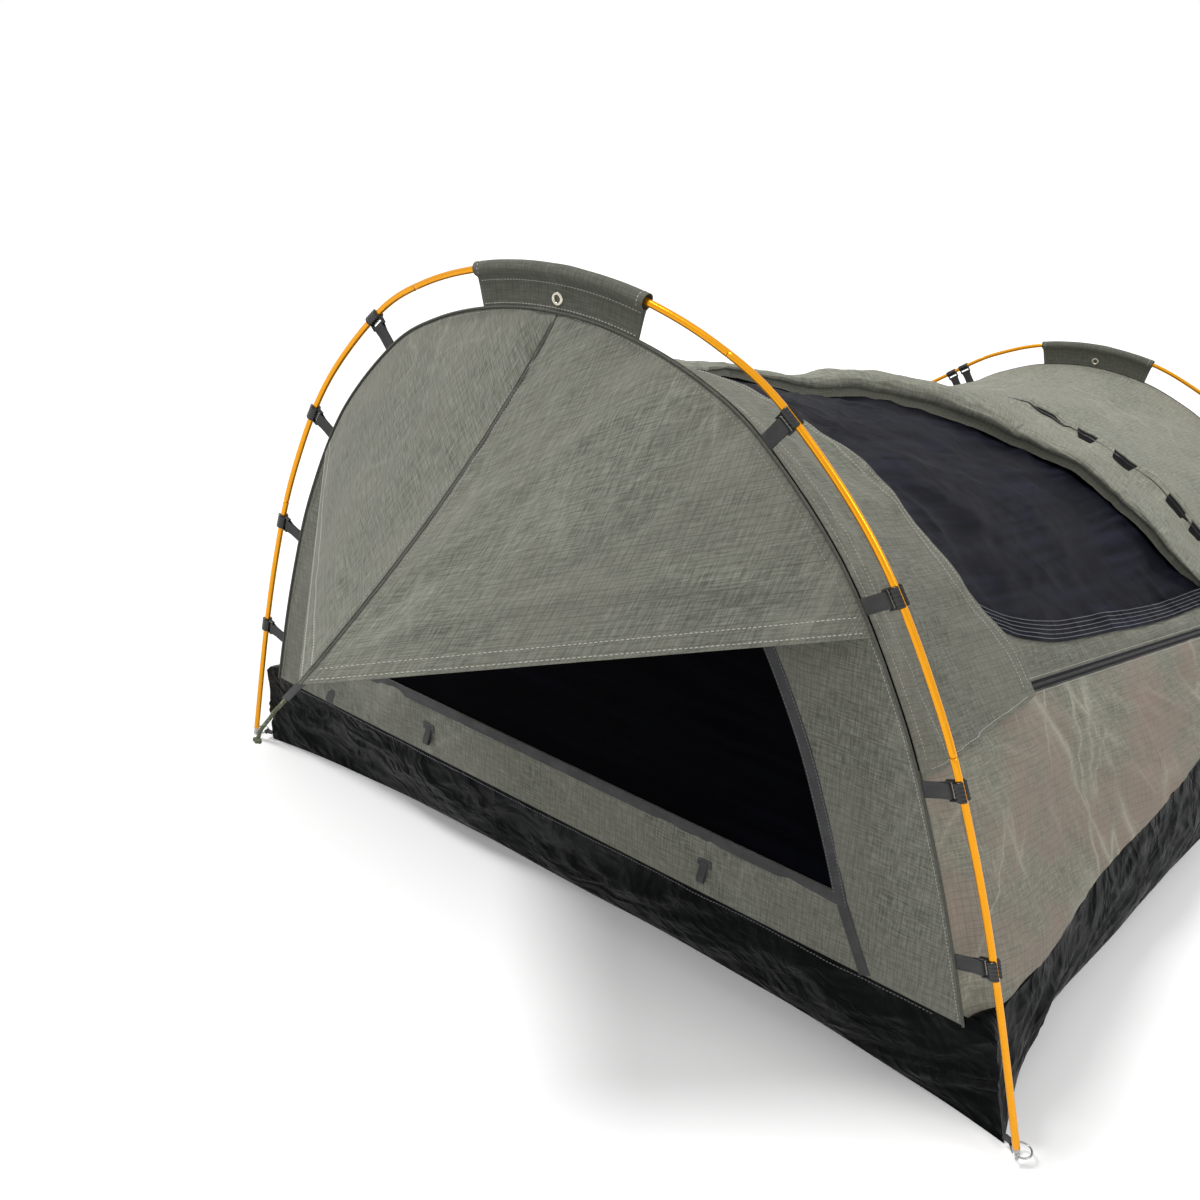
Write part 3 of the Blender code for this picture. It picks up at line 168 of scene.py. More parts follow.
BAND_END, BAND_LAP, BAND_POINT, BAND_ROWS, BAND_COLUMNS = 0.704, 0.0045, 0.028, 38, 250

# How deep the cloth's wrinkles go, and how close to the hoops they are held flat
SOFT_DEPTH, CRUMPLE_DEPTH, WALL_DEPTH, WALL_FINE_DEPTH = 0.0045, 0.0062, 0.0145, 0.0030
REAR_DEPTH, PUCKER_DEPTH, ARCH_DEPTH, HELD_EDGE = 0.0105, 0.0055, 0.0030, 0.045
STRIP_DEPTH, BAND_DEPTH = 0.0042, 0.0042
CRUSH_DEPTH, CRUSH_FINE_DEPTH, UNDERSIDE_DEPTH = 0.0120, 0.0052, 0.0018

# Rubbed creases in the canvas: their turn, scale, stretch and width
RUBS = ((0.0, 6.0, 0.30, 0.042), (-52.0, 8.0, 0.34, 0.032), (9.0, 15.0, 0.22, 0.040))

UP, ALONG, ACROSS = np.array([0.0, 0.0, 1.0]), np.array([0.0, 1.0, 0.0]), np.array([1.0, 0.0, 0.0])


# Curves and noise


def unit(rows):
    rows = np.asarray(rows, float)
    return rows / np.maximum(np.linalg.norm(rows, axis=-1, keepdims=True), 1e-12)


def smooth_step(value):
    value = np.clip(value, 0.0, 1.0)
    return value * value * (3.0 - 2.0 * value)


def smooth_path(points, per_span=24):
    rows = np.array(points, float)
    rows = np.vstack([2 * rows[0] - rows[1], rows, 2 * rows[-1] - rows[-2]])
    out = []
    for i in range(1, len(rows) - 2):
        a, b, c, d = rows[i - 1 : i + 3]
        for u in np.linspace(0.0, 1.0, per_span, endpoint=False):
            cubic = (3 * b - 3 * c + d - a) * u**3 + (2 * a - 5 * b + 4 * c - d) * u**2
            out.append(0.5 * (2 * b + (c - a) * u + cubic))
    out.append(rows[-2])
    return np.array(out)


def lengths_along(path):
    return np.concatenate([[0.0], np.cumsum(np.linalg.norm(np.diff(path, axis=0), axis=1))])


def at_length(path, where, rows=None):
    """The rows given, or the path's own points, at lengths along the path."""
    along, rows = lengths_along(path), path if rows is None else rows
    return np.stack([np.interp(where, along, rows[:, k]) for k in range(rows.shape[1])], axis=-1)


def even(path, count):
    return at_length(path, np.linspace(0.0, lengths_along(path)[-1], count))


def on_table(table, value):
    return np.interp(value, [row[0] for row in table], [row[1] for row in table])


def noise(u, v, seed):
    """Smooth values from -1 to 1 over a lattice of unit cells."""
    i, j = np.floor(u), np.floor(v)
    a, b = u - i, v - j
    a, b = a * a * (3 - 2 * a), b * b * (3 - 2 * b)

    def corner(p, q):
        raw = np.sin(p * 127.1 + q * 311.7 + seed * 74.7) * 43758.5453
        return 2.0 * (raw - np.floor(raw)) - 1.0

    low = (1 - a) * corner(i, j) + a * corner(i + 1, j)
    high = (1 - a) * corner(i, j + 1) + a * corner(i + 1, j + 1)
    return (1 - b) * low + b * high


def turned(u, v, degrees):
    c, s = math.cos(math.radians(degrees)), math.sin(math.radians(degrees))
    return c * u - s * v, s * u + c * v


def soft_noise(u, v, seed, octaves=3):
    total = 0.0
    for k in range(octaves):
        a, b = turned(u * 2.03**k, v * 2.03**k, 37.0 * k + 11.0)
        total = total + 0.5**k * noise(a, b, seed + k)
    return total


def creases(u, v, seed, octaves=3, gain=0.55):
    """Crumpled cloth: smooth hollows between sharp crests, from about -1 to 1."""
    total, norm = 0.0, 0.0
    for k in range(octaves):
        a, b = turned(u * 1.9**k, v * 1.9**k, 61.0 * k + 9.0 * seed)
        a = a + 0.8 * noise(0.6 * a, 0.6 * b, seed + 31)
        b = b + 0.8 * noise(0.6 * a + 5.2, 0.6 * b + 1.3, seed + 57)
        total = total + gain**k * (0.62 - 2.0 * np.abs(noise(a, b, seed + 7 * k)))
        norm += gain**k
    return total / norm


# The CAD's shapes


def hoop_line(shares, top_z):
    right = [(x * HOOP_HALF_SPAN, PIVOT_Z + z * (top_z - PIVOT_Z)) for x, z in shares]
    left = [(-x, z) for x, z in right]
    return even(smooth_path(left + [(0.0, top_z)] + right[::-1]), 801)


def inset(line, distance):
    tangent = unit(np.gradient(line, axis=0))
    return line + distance * np.stack([tangent[:, 1], -tangent[:, 0]], axis=1)


def above(line, low_z, count=401):
    keep = np.nonzero(line[:, 1] >= low_z)[0]
    first, last = keep[0], keep[-1]

    def crossing(i, j):
        share = (low_z - line[i, 1]) / (line[j, 1] - line[i, 1])
        return line[i] + share * (line[j] - line[i])

    ends = crossing(first - 1, first), crossing(last, last + 1)
    return even(np.vstack([ends[0], line[first : last + 1], ends[1]]), count)


def in_plane(flat, y):
    flat = np.asarray(flat)
    return np.stack([flat[..., 0], np.full(flat.shape[:-1], y), flat[..., 1]], axis=-1)


HEAD_LINE, FOOT_LINE = hoop_line(HEAD_HOOP, HEAD_TOP_Z), hoop_line(FOOT_HOOP, FOOT_TOP_Z)
HEAD_SEAM = above(inset(HEAD_LINE, CANVAS_GAP), TUB_SEAM_Z)
FOOT_SEAM = above(inset(FOOT_LINE, CANVAS_GAP), TUB_SEAM_Z)
SHARES = np.linspace(-1.0, 1.0, len(HEAD_SEAM))
HALF_ARCH = [lengths_along(seam)[-1] / 2 for seam in (HEAD_SEAM, FOOT_SEAM)]


def seam_bulge(t):
    wide = np.clip(4.0 * t * (1.0 - t), 0.0, 1.0)
    dent = np.exp(-(((t - DENT_PLACE) / DENT_WIDTH) ** 2))
    return SEAM_BULGE * np.sqrt(wide) * smooth_step(wide / 0.12) - SEAM_DENT * dent * wide


def free_canopy(t, v):
    t, v = np.broadcast_arrays(np.asarray(t, float), np.asarray(v, float))
    head, foot = (
        np.stack([np.interp(v, SHARES, seam[:, k]) for k in range(2)], -1) for seam in (HEAD_SEAM, FOOT_SEAM)
    )
    flat = (1.0 - t)[..., None] * head + t[..., None] * foot
    fall = np.minimum(1.0, 1.35 * smooth_step(1.0 - np.abs(v) / 0.72))
    wide = np.clip(4.0 * t * (1.0 - t), 0.0, 1.0)
    z = flat[..., 1] - CANOPY_SAG * wide**0.7 * smooth_step(0.5 + wide / 0.12) * fall
    low = smooth_step((np.abs(v) - 0.45) / 0.55)
    folds = np.sin(FOLD_COUNT * math.pi * t + 4.0 * v) * smooth_step(2.0 * wide) * 2.0 * low * (1.0 - low)
    x = flat[..., 0] + np.sign(v) * (low * seam_bulge(t) + FOLD_DEPTH * folds)
    return np.stack([x, HALF_LENGTH * (2.0 * t - 1.0), z], axis=-1)


ZIP_HEAD, ZIP_FOOT = free_canopy(*ZIP_HEAD_PLACE), free_canopy(*ZIP_FOOT_PLACE)


def zip_table():
    rows = []
    for t in np.linspace(0.0, 1.0, 101):
        share = (t - ZIP_HEAD_PLACE[0]) / (ZIP_FOOT_PLACE[0] - ZIP_HEAD_PLACE[0])
        if share <= 0.0 or share >= 1.0:
            rows.append((t, (ZIP_HEAD_PLACE if share <= 0.0 else ZIP_FOOT_PLACE)[1]))
            continue
        tries = np.linspace(0.5, 1.0, 101)
        level = ZIP_HEAD[2] + share * (ZIP_FOOT[2] - ZIP_HEAD[2])
        rows.append((t, np.interp(-level, -free_canopy(t, tries)[:, 2], tries)))
    return rows


ZIP_TABLE = zip_table()


def canopy(t, v):
    t, v = np.broadcast_arrays(np.asarray(t, float), np.asarray(v, float))
    points = free_canopy(t, v)
    share = (t - ZIP_HEAD_PLACE[0]) / (ZIP_FOOT_PLACE[0] - ZIP_HEAD_PLACE[0])
    at_zip = on_table(ZIP_TABLE, t)
    drawn = ZIP_HEAD[0] + share * (ZIP_FOOT[0] - ZIP_HEAD[0]) - free_canopy(t, at_zip)[..., 0]
    span = np.where(v > at_zip, 1.0 - at_zip, at_zip - 0.3)
    pull = drawn * smooth_step(1.0 - np.abs(v - at_zip) / span)
    points[..., 0] += np.where((share > 0.0) & (share < 1.0) & (v > 0.3), pull, 0.0)
    return points


def canopy_frame(t, v, step=0.004):
    t, v = np.broadcast_arrays(np.asarray(t, float), np.asarray(v, float))
    t0, t1 = np.maximum(t - step, 0.0), np.minimum(t + step, 1.0)
    v0, v1 = np.maximum(v - step, -1.0), np.minimum(v + step, 1.0)
    along = (canopy(t1, v) - canopy(t0, v)) / (t1 - t0)[..., None]
    across = (canopy(t, v1) - canopy(t, v0)) / (v1 - v0)[..., None]
    return along, across, unit(np.cross(across, along))


def metres_on(t, v):
    """The cloth's own coordinates on the canopy: along it and round it."""
    return t * LENGTH, v * ((1.0 - t) * HALF_ARCH[0] + t * HALF_ARCH[1])


def canopy_wrinkles(t, v):
    """How far the canvas stands off its smooth shape."""
    x, a = metres_on(t, v)
    held = smooth_step(t / HELD_EDGE) * smooth_step((1.0 - t) / HELD_EDGE)
    low = smooth_step((np.abs(v) - 0.60) / 0.16)
    foot = smooth_step((1.0 - np.abs(v)) / 0.05)
    at_door = (t > 0.13) & (t < 0.63) & (v > 0)
    near_zip = np.where(at_door, smooth_step((np.abs(v - on_table(ZIP_TABLE, t)) - 0.02) / 0.05), 1.0)
    out = SOFT_DEPTH * soft_noise(4.0 * x, 4.5 * a, 3) * (1.0 - 0.5 * low)
    out = out + CRUMPLE_DEPTH * creases(5.4 * x + 2.3 * a, 6.2 * a - 1.5 * x, 5, 4, 0.5) * (1.0 - low)
    out = out + low * foot * (WALL_DEPTH * creases(5.0 * x - 3.4 * a, 3.4 * a + 1.2 * x, 12, 4, 0.56))
    out = out + low * WALL_FINE_DEPTH * creases(17.0 * x - 8.0 * a, 9.0 * a + 3.0 * x, 14, 2)
    rear = smooth_step((t - 0.52) / 0.10) * (1.0 - low)
    out = out + rear * REAR_DEPTH * creases(2.8 * x + 2.2 * a, 3.6 * a - 1.8 * x, 24, 4, 0.55)
    pucker = np.exp(-np.abs(1.0 - np.abs(v)) * 0.95 / 0.055)
    out = out + PUCKER_DEPTH * np.abs(noise(21.0 * x, 0.0 * x, 21)) * pucker * low * foot
    near_arch = np.exp(-t / 0.075) + np.exp(-(1.0 - t) / 0.06)
    out = out + ARCH_DEPTH * creases(5.0 * x, 19.0 * a, 17, 2) * near_arch
    return out * held * near_zip


def skin(t, v, lift=0.0):
    """Points on the wrinkled canopy, and its outward directions."""
    normals = canopy_frame(t, v)[2]
    rise = canopy_wrinkles(t, v) + lift
    return canopy(t, v) + np.asarray(rise)[..., None] * normals, normals


def arch_outline(line, distance, low_z):
    arch = even(above(inset(line, distance), low_z), ARCH_COUNT)
    return np.vstack([arch, np.linspace(arch[-1], arch[0], SILL_COUNT + 2)[1:-1]])


# Meshes: each part is (points, faces, cloth coordinates in metres, material)


def grid_faces(rows, columns, wrap=False):
    i = np.arange(rows - 1)[:, None] * columns
    j = np.arange(columns if wrap else columns - 1)[None, :]
    k = (j + 1) % columns
    return np.stack([i + j, i + k, i + columns + k, i + columns + j], -1).reshape(-1, 4)


def sheet_part(grid, normals, low, high, uv, look):
    """A closed sheet between two offsets from a grid; the offsets may vary over it."""
    rows, columns = grid.shape[:2]
    low, high = (np.broadcast_to(value, (rows, columns))[..., None] for value in (low, high))
    points = np.vstack([(grid + high * normals).reshape(-1, 3), (grid + low * normals).reshape(-1, 3)])
    side = rows * columns
    top = grid_faces(rows, columns)
    faces = top.tolist() + (top[:, ::-1] + side).tolist()
    edge = list(range(columns)) + [i * columns + columns - 1 for i in range(1, rows)]
    edge += [side - 1 - j for j in range(1, columns)] + [i * columns for i in range(rows - 2, 0, -1)]
    faces += [(b, a, side + a, side + b) for a, b in zip(edge, edge[1:] + edge[:1])]
    flat = np.asarray(uv, float).reshape(-1, 2)
    return points, faces, np.vstack([flat, flat]), look


def loft_part(rings, look, closed=False, uv=None):
    """Rings of points joined in turn, capped at both ends or closed into a loop."""
    rings = np.asarray(rings, float)
    rows, columns = rings.shape[:2]
    faces = grid_faces(rows, columns, True).tolist()
    if closed:
        last = (rows - 1) * columns
        faces += [(last + j, last + (j + 1) % columns, (j + 1) % columns, j) for j in range(columns)]
    else:
        faces += [tuple(range(columns))[::-1], tuple((rows - 1) * columns + j for j in range(columns))]
    if uv is None:
        round_it = np.linalg.norm(np.diff(rings, axis=1, append=rings[:, :1]), axis=2).cumsum(axis=1)
        along = np.concatenate([[0.0], np.linalg.norm(np.diff(rings.mean(axis=1), axis=0), axis=1).cumsum()])
        uv = np.stack([round_it, np.broadcast_to(along[:, None], round_it.shape)], -1)
    return rings.reshape(-1, 3), faces, np.asarray(uv, float).reshape(-1, 2), look


def box_parts(centres, along, across, normals, size, look):
    """Many small blocks with drawn-in tops, such as stitches or zip teeth."""
    rows = (np.asarray(item, float).reshape(-1, 3) for item in (centres, along, across, normals))
    centres, along, across, normals = rows
    length, width, height = (value / 2 for value in size)
    points = []
    for c in (-1.0, 1.0):
        shrink = 0.62 if c > 0 else 1.0
        for a, b in ((-1, -1), (1, -1), (1, 1), (-1, 1)):
            level = centres + a * length * shrink * along + b * width * shrink * across
            points.append(level + c * height * normals)
    points = np.stack(points, axis=1).reshape(-1, 3)
    base = 8 * np.arange(len(centres))[:, None, None]
    quads = np.array([(0, 3, 2, 1), (4, 5, 6, 7), (0, 1, 5, 4), (1, 2, 6, 5), (2, 3, 7, 6), (3, 0, 4, 7)])
    return points, (base + quads).reshape(-1, 4).tolist(), points[:, :2].copy(), look


def stitches(line, normals, look, pitch=0.0050, length=0.0034, width=0.0011, height=0.0009):
    """A row of thread dashes along a line on a surface."""
    total = lengths_along(line)[-1]
    count = max(int(total / pitch), 2)
    places = np.linspace(0.5 * pitch, total - 0.5 * pitch, count)
    centres = at_length(line, places)
    run = unit(at_length(line, places + 0.3 * pitch) - at_length(line, places - 0.3 * pitch))
    up = unit(at_length(line, places, np.broadcast_to(normals, line.shape)))
    side = unit(np.cross(up, run))
    return box_parts(centres + STITCH_LIFT * up, run, side, up, (length, width, height), look)


def rings_round(path, radii, first, second, sides):
    """Circles of points round a path, in the plane of two directions."""
    angles = np.linspace(0.0, 2 * math.pi, sides, endpoint=False)[:, None]
    around = np.cos(angles) * first[:, None] + np.sin(angles) * second[:, None]
    return path[:, None] + np.asarray(radii)[..., None, None] * around


def tube_part(path, radius, look, sides, up):
    """A tube of one radius, or of one for each point of its path."""
    run = unit(np.gradient(path, axis=0))
    first = unit(np.cross(np.broadcast_to(up, run.shape), run))
    return loft_part(rings_round(path, radius, first, np.cross(run, first), sides), look)


def turned_part(centre, first, second, axis, section, count, look):
    """A (radius, depth) section turned full circle from first through second."""
    rings = []
    for spin in np.linspace(0, 2 * math.pi, count, endpoint=False):
        out = math.cos(spin) * first + math.sin(spin) * second
        rings.append([centre + radius * out + depth * axis for radius, depth in section])
    return loft_part(rings, look, closed=True)


def wire_section(middle, thick, deep, sides):
    """The oval section of a wire for turned_part."""
    around = np.linspace(0, 2 * math.pi, sides, endpoint=False)
    return [(middle + thick * math.cos(b), deep * math.sin(b)) for b in around]


def strap_part(path, ups, width, thickness, look):
    """Flat webbing along a path, its broad faces toward ups, with rounded edges."""
    path = np.asarray(path, float)
    run = unit(np.gradient(path, axis=0))
    side = unit(np.cross(unit(np.broadcast_to(ups, run.shape)), run))
    up = np.cross(run, side)
    half, thick = width / 2, thickness / 2
    section = [
        (a * half, sign * thick * (1.0 - 0.5 * abs(a) ** 8))
        for sign in (1, -1) for a in np.linspace(-sign, sign, 9)
    ]
    rings = [[spot + a * s + b * u for a, b in section] for spot, s, u in zip(path, side, up)]
    uv = [[(a, length) for a, b in section] for length in lengths_along(path)]
    return loft_part(rings, look, uv=uv)


def write_uv(mesh, coords):
    layer = mesh.uv_layers.new(name="cloth")
    index = np.empty(len(mesh.loops), np.int32)
    mesh.loops.foreach_get("vertex_index", index)
    layer.data.foreach_set("uv", coords[index].astype(np.float32).ravel())


def piece(name, parts, body, sharp=50.0, replaced=None):
    """One object from its parts, riding a body and standing for its own CAD node or those named."""
    replaced = (name,) if replaced is None else replaced
    points, faces, coords, looks, marks, start = [], [], [], [], [], 0
    for part_points, part_faces, part_uv, look in parts:
        if look not in looks:
            looks.append(look)
        points.append(part_points)
        coords.append(part_uv)
        faces += [tuple(int(k) + start for k in face) for face in part_faces]
        marks += [looks.index(look)] * len(part_faces)
        start += len(part_points)
    points, coords = np.vstack(points), np.vstack(coords)
    name = f"{name}_detail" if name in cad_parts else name
    mesh = bpy.data.meshes.new(name)
    mesh.from_pydata(points.tolist(), [], faces)
    for look in looks:
        mesh.materials.append(material(look))
    mesh.polygons.foreach_set("material_index", marks)
    write_uv(mesh, coords)
    work = bmesh.new()
    work.from_mesh(mesh)
    bmesh.ops.recalc_face_normals(work, faces=work.faces)
    work.to_mesh(mesh)
    work.free()
    mesh.shade_smooth()
    mesh.set_sharp_from_angle(angle=math.radians(sharp))
    obj = bpy.data.objects.new(name, mesh)
    bpy.context.collection.objects.link(obj)
    if body:
        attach(obj, body)
    if replaced:
        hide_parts(*replaced)
    return obj


def crumples(obj):
    """Gives a piece of cloth a mesh of its own."""
    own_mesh(obj)


def draws_back(obj):
    """Gives a piece of the awning a mesh of its own."""
    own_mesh(obj)


def with_head(obj):
    """Bakes the placement into the mesh of head-end cloth, such as the head wall, which runs from the tub's seam up
    onto the head hoop.
    """
    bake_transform(obj)


def area_of(grid):
    a, b = np.diff(grid, axis=0)[:, :-1], np.diff(grid, axis=1)[:-1]
    return float(np.linalg.norm(np.cross(a, b), axis=2).sum())


def sizes_of(grid):
    width = np.linalg.norm(np.diff(grid, axis=1), axis=2).sum(axis=1).max()
    length = np.linalg.norm(np.diff(grid, axis=0), axis=2).sum(axis=0).max()
    return round(float(width), 3), round(float(length), 3)


# Materials


def times(colour, factor):
    return tuple(factor * c for c in colour)


class Look:
    """A material's node tree, with short calls for the nodes used here."""

    def __init__(self, name, roughness, metallic=0.0, sheen=0.0, specular=0.5, coat=0.0):
        self.made = bpy.data.materials.new(name)
        self.made.use_nodes = True
        self.tree = self.made.node_tree
        self.shader = self.tree.nodes["Principled BSDF"]
        for key, value in (
            ("Roughness", roughness), ("Metallic", metallic), ("Sheen Weight", sheen),
            ("Specular IOR Level", specular), ("Coat Weight", coat),
        ):
            self.shader.inputs[key].default_value = value
        self.shader.inputs["Sheen Roughness"].default_value = 0.6

    def put(self, socket, value):
        if isinstance(value, bpy.types.NodeSocket):
            self.tree.links.new(value, socket)
        else:
            socket.default_value = value

    def node(self, kind, inputs, out=0, **settings):
        made = self.tree.nodes.new("ShaderNode" + kind)
        for key, value in settings.items():
            setattr(made, key, value)
        for key, value in inputs.items():
            self.put(made.inputs[key], value)
        return made.outputs[out]

    def cloth(self):
        return self.node("UVMap", {}, uv_map="cloth")

    def cloth_axes(self, uv):
        return [self.node("SeparateXYZ", {0: uv}, out=axis) for axis in (0, 1)]

    def place(self):
        return self.node("TexCoord", {}, out=3)

    def scaled(self, vector, *factors):
        return self.node("VectorMath", {0: vector, 1: factors}, operation="MULTIPLY")

    def noise(self, vector, scale, detail=3.0, rough=0.5, bend=0.0):
        inputs = {"Vector": vector, "Scale": scale, "Detail": detail, "Roughness": rough, "Distortion": bend}
        return self.node("TexNoise", inputs)

    def calc(self, operation, a, b=0.0):
        return self.node("Math", {0: a, 1: b}, operation=operation)

    def add(self, a, b):
        return self.calc("ADD", a, b)

    def product(self, a, b):
        return self.calc("MULTIPLY", a, b)

    def saw(self, value, half):
        return self.calc("PINGPONG", value, half)

    def span(self, value, low, high, to_low=0.0, to_high=1.0):
        inputs = {"Value": value, "From Min": low, "From Max": high, "To Min": to_low, "To Max": to_high}
        return self.node("MapRange", inputs)

    def blend(self, share, a, b):
        made = self.tree.nodes.new("ShaderNodeMix")
        made.data_type = "RGBA"
        for key, value in (("Factor_Float", share), ("A_Color", a), ("B_Color", b)):
            socket = next(item for item in made.inputs if item.identifier == key)
            self.put(socket, (*value, 1.0) if isinstance(value, tuple) and len(value) == 3 else value)
        return next(item for item in made.outputs if item.identifier == "Result_Color")

    def bump(self, height, strength, distance, under=None):
        inputs = {"Height": height, "Strength": strength, "Distance": distance}
        if under is not None:
            inputs["Normal"] = under
        return self.node("Bump", inputs)

    def ridge(self, vector, scale, width, detail=2.0, bend=1.2):
        """Thin wandering lines, 1 on a line."""
        field = self.noise(vector, scale, detail, 0.5, bend)
        return self.span(self.calc("ABSOLUTE", self.calc("SUBTRACT", field, 0.5)), 0.0, width, 1.0, 0.0)

    def finish(self, colour=None, roughness=None, normal=None):
        for key, value in (("Base Color", colour), ("Roughness", roughness), ("Normal", normal)):
            if value is not None:
                self.put(self.shader.inputs[key], value)
        return self.made


def canvas_look(name, dark, light, tint, crease, fade=0.5, lean=22.0):
    """Waxed cotton ripstop: slubby threads both ways, a dark grid, pale rubbed creases."""
    look = Look(name, 0.88, sheen=0.05, specular=0.22)
    uv = look.cloth()
    warp = look.noise(look.scaled(uv, 420.0, 42.0, 1.0), 1.0, 2.5)
    weft = look.noise(look.scaled(uv, 42.0, 420.0, 1.0), 1.0, 2.5)
    fine = look.noise(look.scaled(uv, 1300.0, 1300.0, 1.0), 1.0, 1.0)
    threads = look.add(look.product(look.add(warp, weft), 0.42), look.product(fine, 0.16))
    cloud = look.noise(uv, 5.0, 4.0, 0.6)
    base = look.blend(look.span(threads, 0.38, 0.62), dark, light)
    base = look.blend(look.span(cloud, 0.42, 0.60, 0.0, fade), base, tint)
    lines = []
    for axis, slub in zip(look.cloth_axes(uv), (warp, weft)):
        line = look.span(look.saw(axis, 0.0052), 0.0, 0.00075, 1.0, 0.0)
        lines.append(look.product(line, look.span(slub, 0.36, 0.60, 0.25, 1.0)))
    grid = look.calc("MAXIMUM", *lines)
    base = look.blend(look.product(grid, 0.55), base, times(dark, 0.42))
    patches = look.span(look.noise(uv, 3.1, 2.0), 0.44, 0.60)
    rubs = []
    for turn, scale, stretch, width in RUBS:
        inputs = {"Vector": uv, "Angle": math.radians(lean + turn)}
        turned_uv = look.node("VectorRotate", inputs, rotation_type="Z_AXIS")
        rubs.append(look.ridge(look.scaled(turned_uv, 1.0, stretch, 1.0), scale, width, 1.2, 0.12))
    rub = look.calc("MAXIMUM", look.calc("MAXIMUM", rubs[0], rubs[1]), look.product(rubs[2], 0.6))
    rub = look.product(look.calc("POWER", rub, 2.2), patches)
    rub = look.product(rub, look.span(threads, 0.36, 0.60, 0.55, 1.0))
    pale = tuple(min(1.0, c) for c in times(light, 1.55))
    base = look.blend(look.product(rub, crease), base, pale)
    height = look.add(look.product(threads, 0.6), look.product(grid, 0.35))
    normal = look.bump(height, 0.60, 0.0011)
    normal = look.bump(look.add(rub, look.product(cloud, 0.8)), 0.35, 0.0032, normal)
    return look.finish(base, look.span(cloud, 0.3, 0.7, 0.80, 0.93), normal)


def mesh_look(name, painted_shade_factor=1.0):
    """Fine insect mesh: a square net of dark threads, with painted highlights along long streaks for its wrinkles.
    """
    look = Look(name, 0.72, specular=0.06 * painted_shade_factor)
    uv = look.cloth()
    net = [look.span(look.saw(axis, 0.00065), 0.0, 0.00045, 1.0, 0.0) for axis in look.cloth_axes(uv)]
    net = look.calc("MAXIMUM", *net)
    cloud = look.noise(uv, 5.0, 4.0, 0.6)
    streak = look.noise(look.scaled(uv, 3.0, 40.0, 1.0), 1.0, 3.0)
    # The factor scales the net's colours; for the window it is painted shade of the dark inside of the tent seen
    # through the net
    base = look.blend(net, times((0.0010, 0.0010, 0.0022), painted_shade_factor), times((0.0060, 0.0064, 0.0125), painted_shade_factor))
    # Paler patches along long streaks: painted highlights for light caught on the mesh's wrinkles, blended in below
    painted_wrinkle_highlight = look.span(look.product(cloud, streak), 0.22, 0.38, 0.0, 0.75)
    base = look.blend(painted_wrinkle_highlight, base, times((0.0165, 0.0185, 0.0310), painted_shade_factor))
    normal = look.bump(net, 0.5, 0.0004)
    normal = look.bump(look.add(streak, cloud), 0.35, 0.003, normal)
    return look.finish(base, look.span(cloud, 0.3, 0.7, 0.52, 0.72), normal)


def pvc_look(name):
    """Black coated groundsheet cloth, satin, crumpled, with faint pale lines in patches that are painted
    highlights.
    """
    look = Look(name, 0.34, specular=0.03)
    place = look.place()
    cloud = look.noise(place, 5.0, 5.0, 0.62)
    where = look.span(look.noise(place, 4.0, 2.0), 0.5, 0.62)
    # Faint pale thin lines, only in patches: painted highlights on the crumpled PVC, blended in below
    painted_highlight_streaks = look.product(look.ridge(place, 9.0, 0.012, 5.0, 1.5), where)
    base = look.blend(look.span(cloud, 0.35, 0.7), (0.0008, 0.0010, 0.0011), (0.0038, 0.0050, 0.0052))
    base = look.blend(look.product(painted_highlight_streaks, 0.14), base, (0.060, 0.065, 0.064))
    rough = look.span(look.noise(place, 22.0, 4.0), 0.3, 0.7, 0.22, 0.46)
    crush = look.add(look.ridge(place, 6.0, 0.16, 3.0, 1.0), look.product(look.ridge(place, 14.0, 0.2), 0.45))
    normal = look.bump(look.noise(place, 900.0, 1.0), 0.14, 0.0006)
    return look.finish(base, rough, look.bump(crush, 0.55, 0.0085, normal))


def webbing_look(name, dark, light):
    """Woven tape: a herringbone across it and firm edges."""
    look = Look(name, 0.80, sheen=0.03, specular=0.16)
    uv = look.cloth()
    x, y = look.cloth_axes(uv)
    slant = look.add(y, look.saw(x, 0.0028))
    rib = look.span(look.saw(slant, 0.0007), 0.0, 0.0007)
    fuzz = look.noise(look.scaled(uv, 900.0, 900.0, 1.0), 1.0, 2.0)
    base = look.blend(look.product(look.add(rib, fuzz), 0.5), dark, light)
    worn = look.span(look.noise(uv, 30.0, 3.0), 0.4, 0.7, 0.0, 0.35)
    base = look.blend(worn, base, times(light, 1.5))
    return look.finish(base, look.span(fuzz, 0.3, 0.7, 0.70, 0.86), look.bump(rib, 0.6, 0.0006))


def metal_look(name, colour, roughness):
    look = Look(name, roughness, metallic=1.0)
    place = look.place()
    drawn = look.noise(look.scaled(place, 60.0, 60.0, 60.0), 1.0, 5.0, 0.7)
    spots = look.noise(place, 240.0, 3.0)
    shade = look.blend(look.span(drawn, 0.3, 0.7, 0.0, 0.30), colour, times(colour, 0.72))
    rough = look.span(spots, 0.3, 0.7, max(roughness - 0.05, 0.05), roughness + 0.07)
    return look.finish(shade, rough, look.bump(spots, 0.06, 0.0003))


def pole_look(name):
    """Anodised alloy tube, orange gold, drawn lengthwise and lightly rubbed."""
    look = Look(name, 0.26, metallic=0.80, coat=0.10, specular=0.4)
    uv = look.cloth()
    drawn = look.noise(look.scaled(uv, 900.0, 7.0, 1.0), 1.0, 3.0)
    wear = look.noise(look.place(), 34.0, 4.0, 0.65)
    base = look.blend(look.span(drawn, 0.3, 0.7), (0.76, 0.29, 0.003), (0.84, 0.37, 0.007))
    base = look.blend(look.span(wear, 0.64, 0.76, 0.0, 0.25), base, (0.86, 0.50, 0.09))
    return look.finish(base, look.span(wear, 0.3, 0.7, 0.22, 0.30), look.bump(drawn, 0.02, 0.0001))


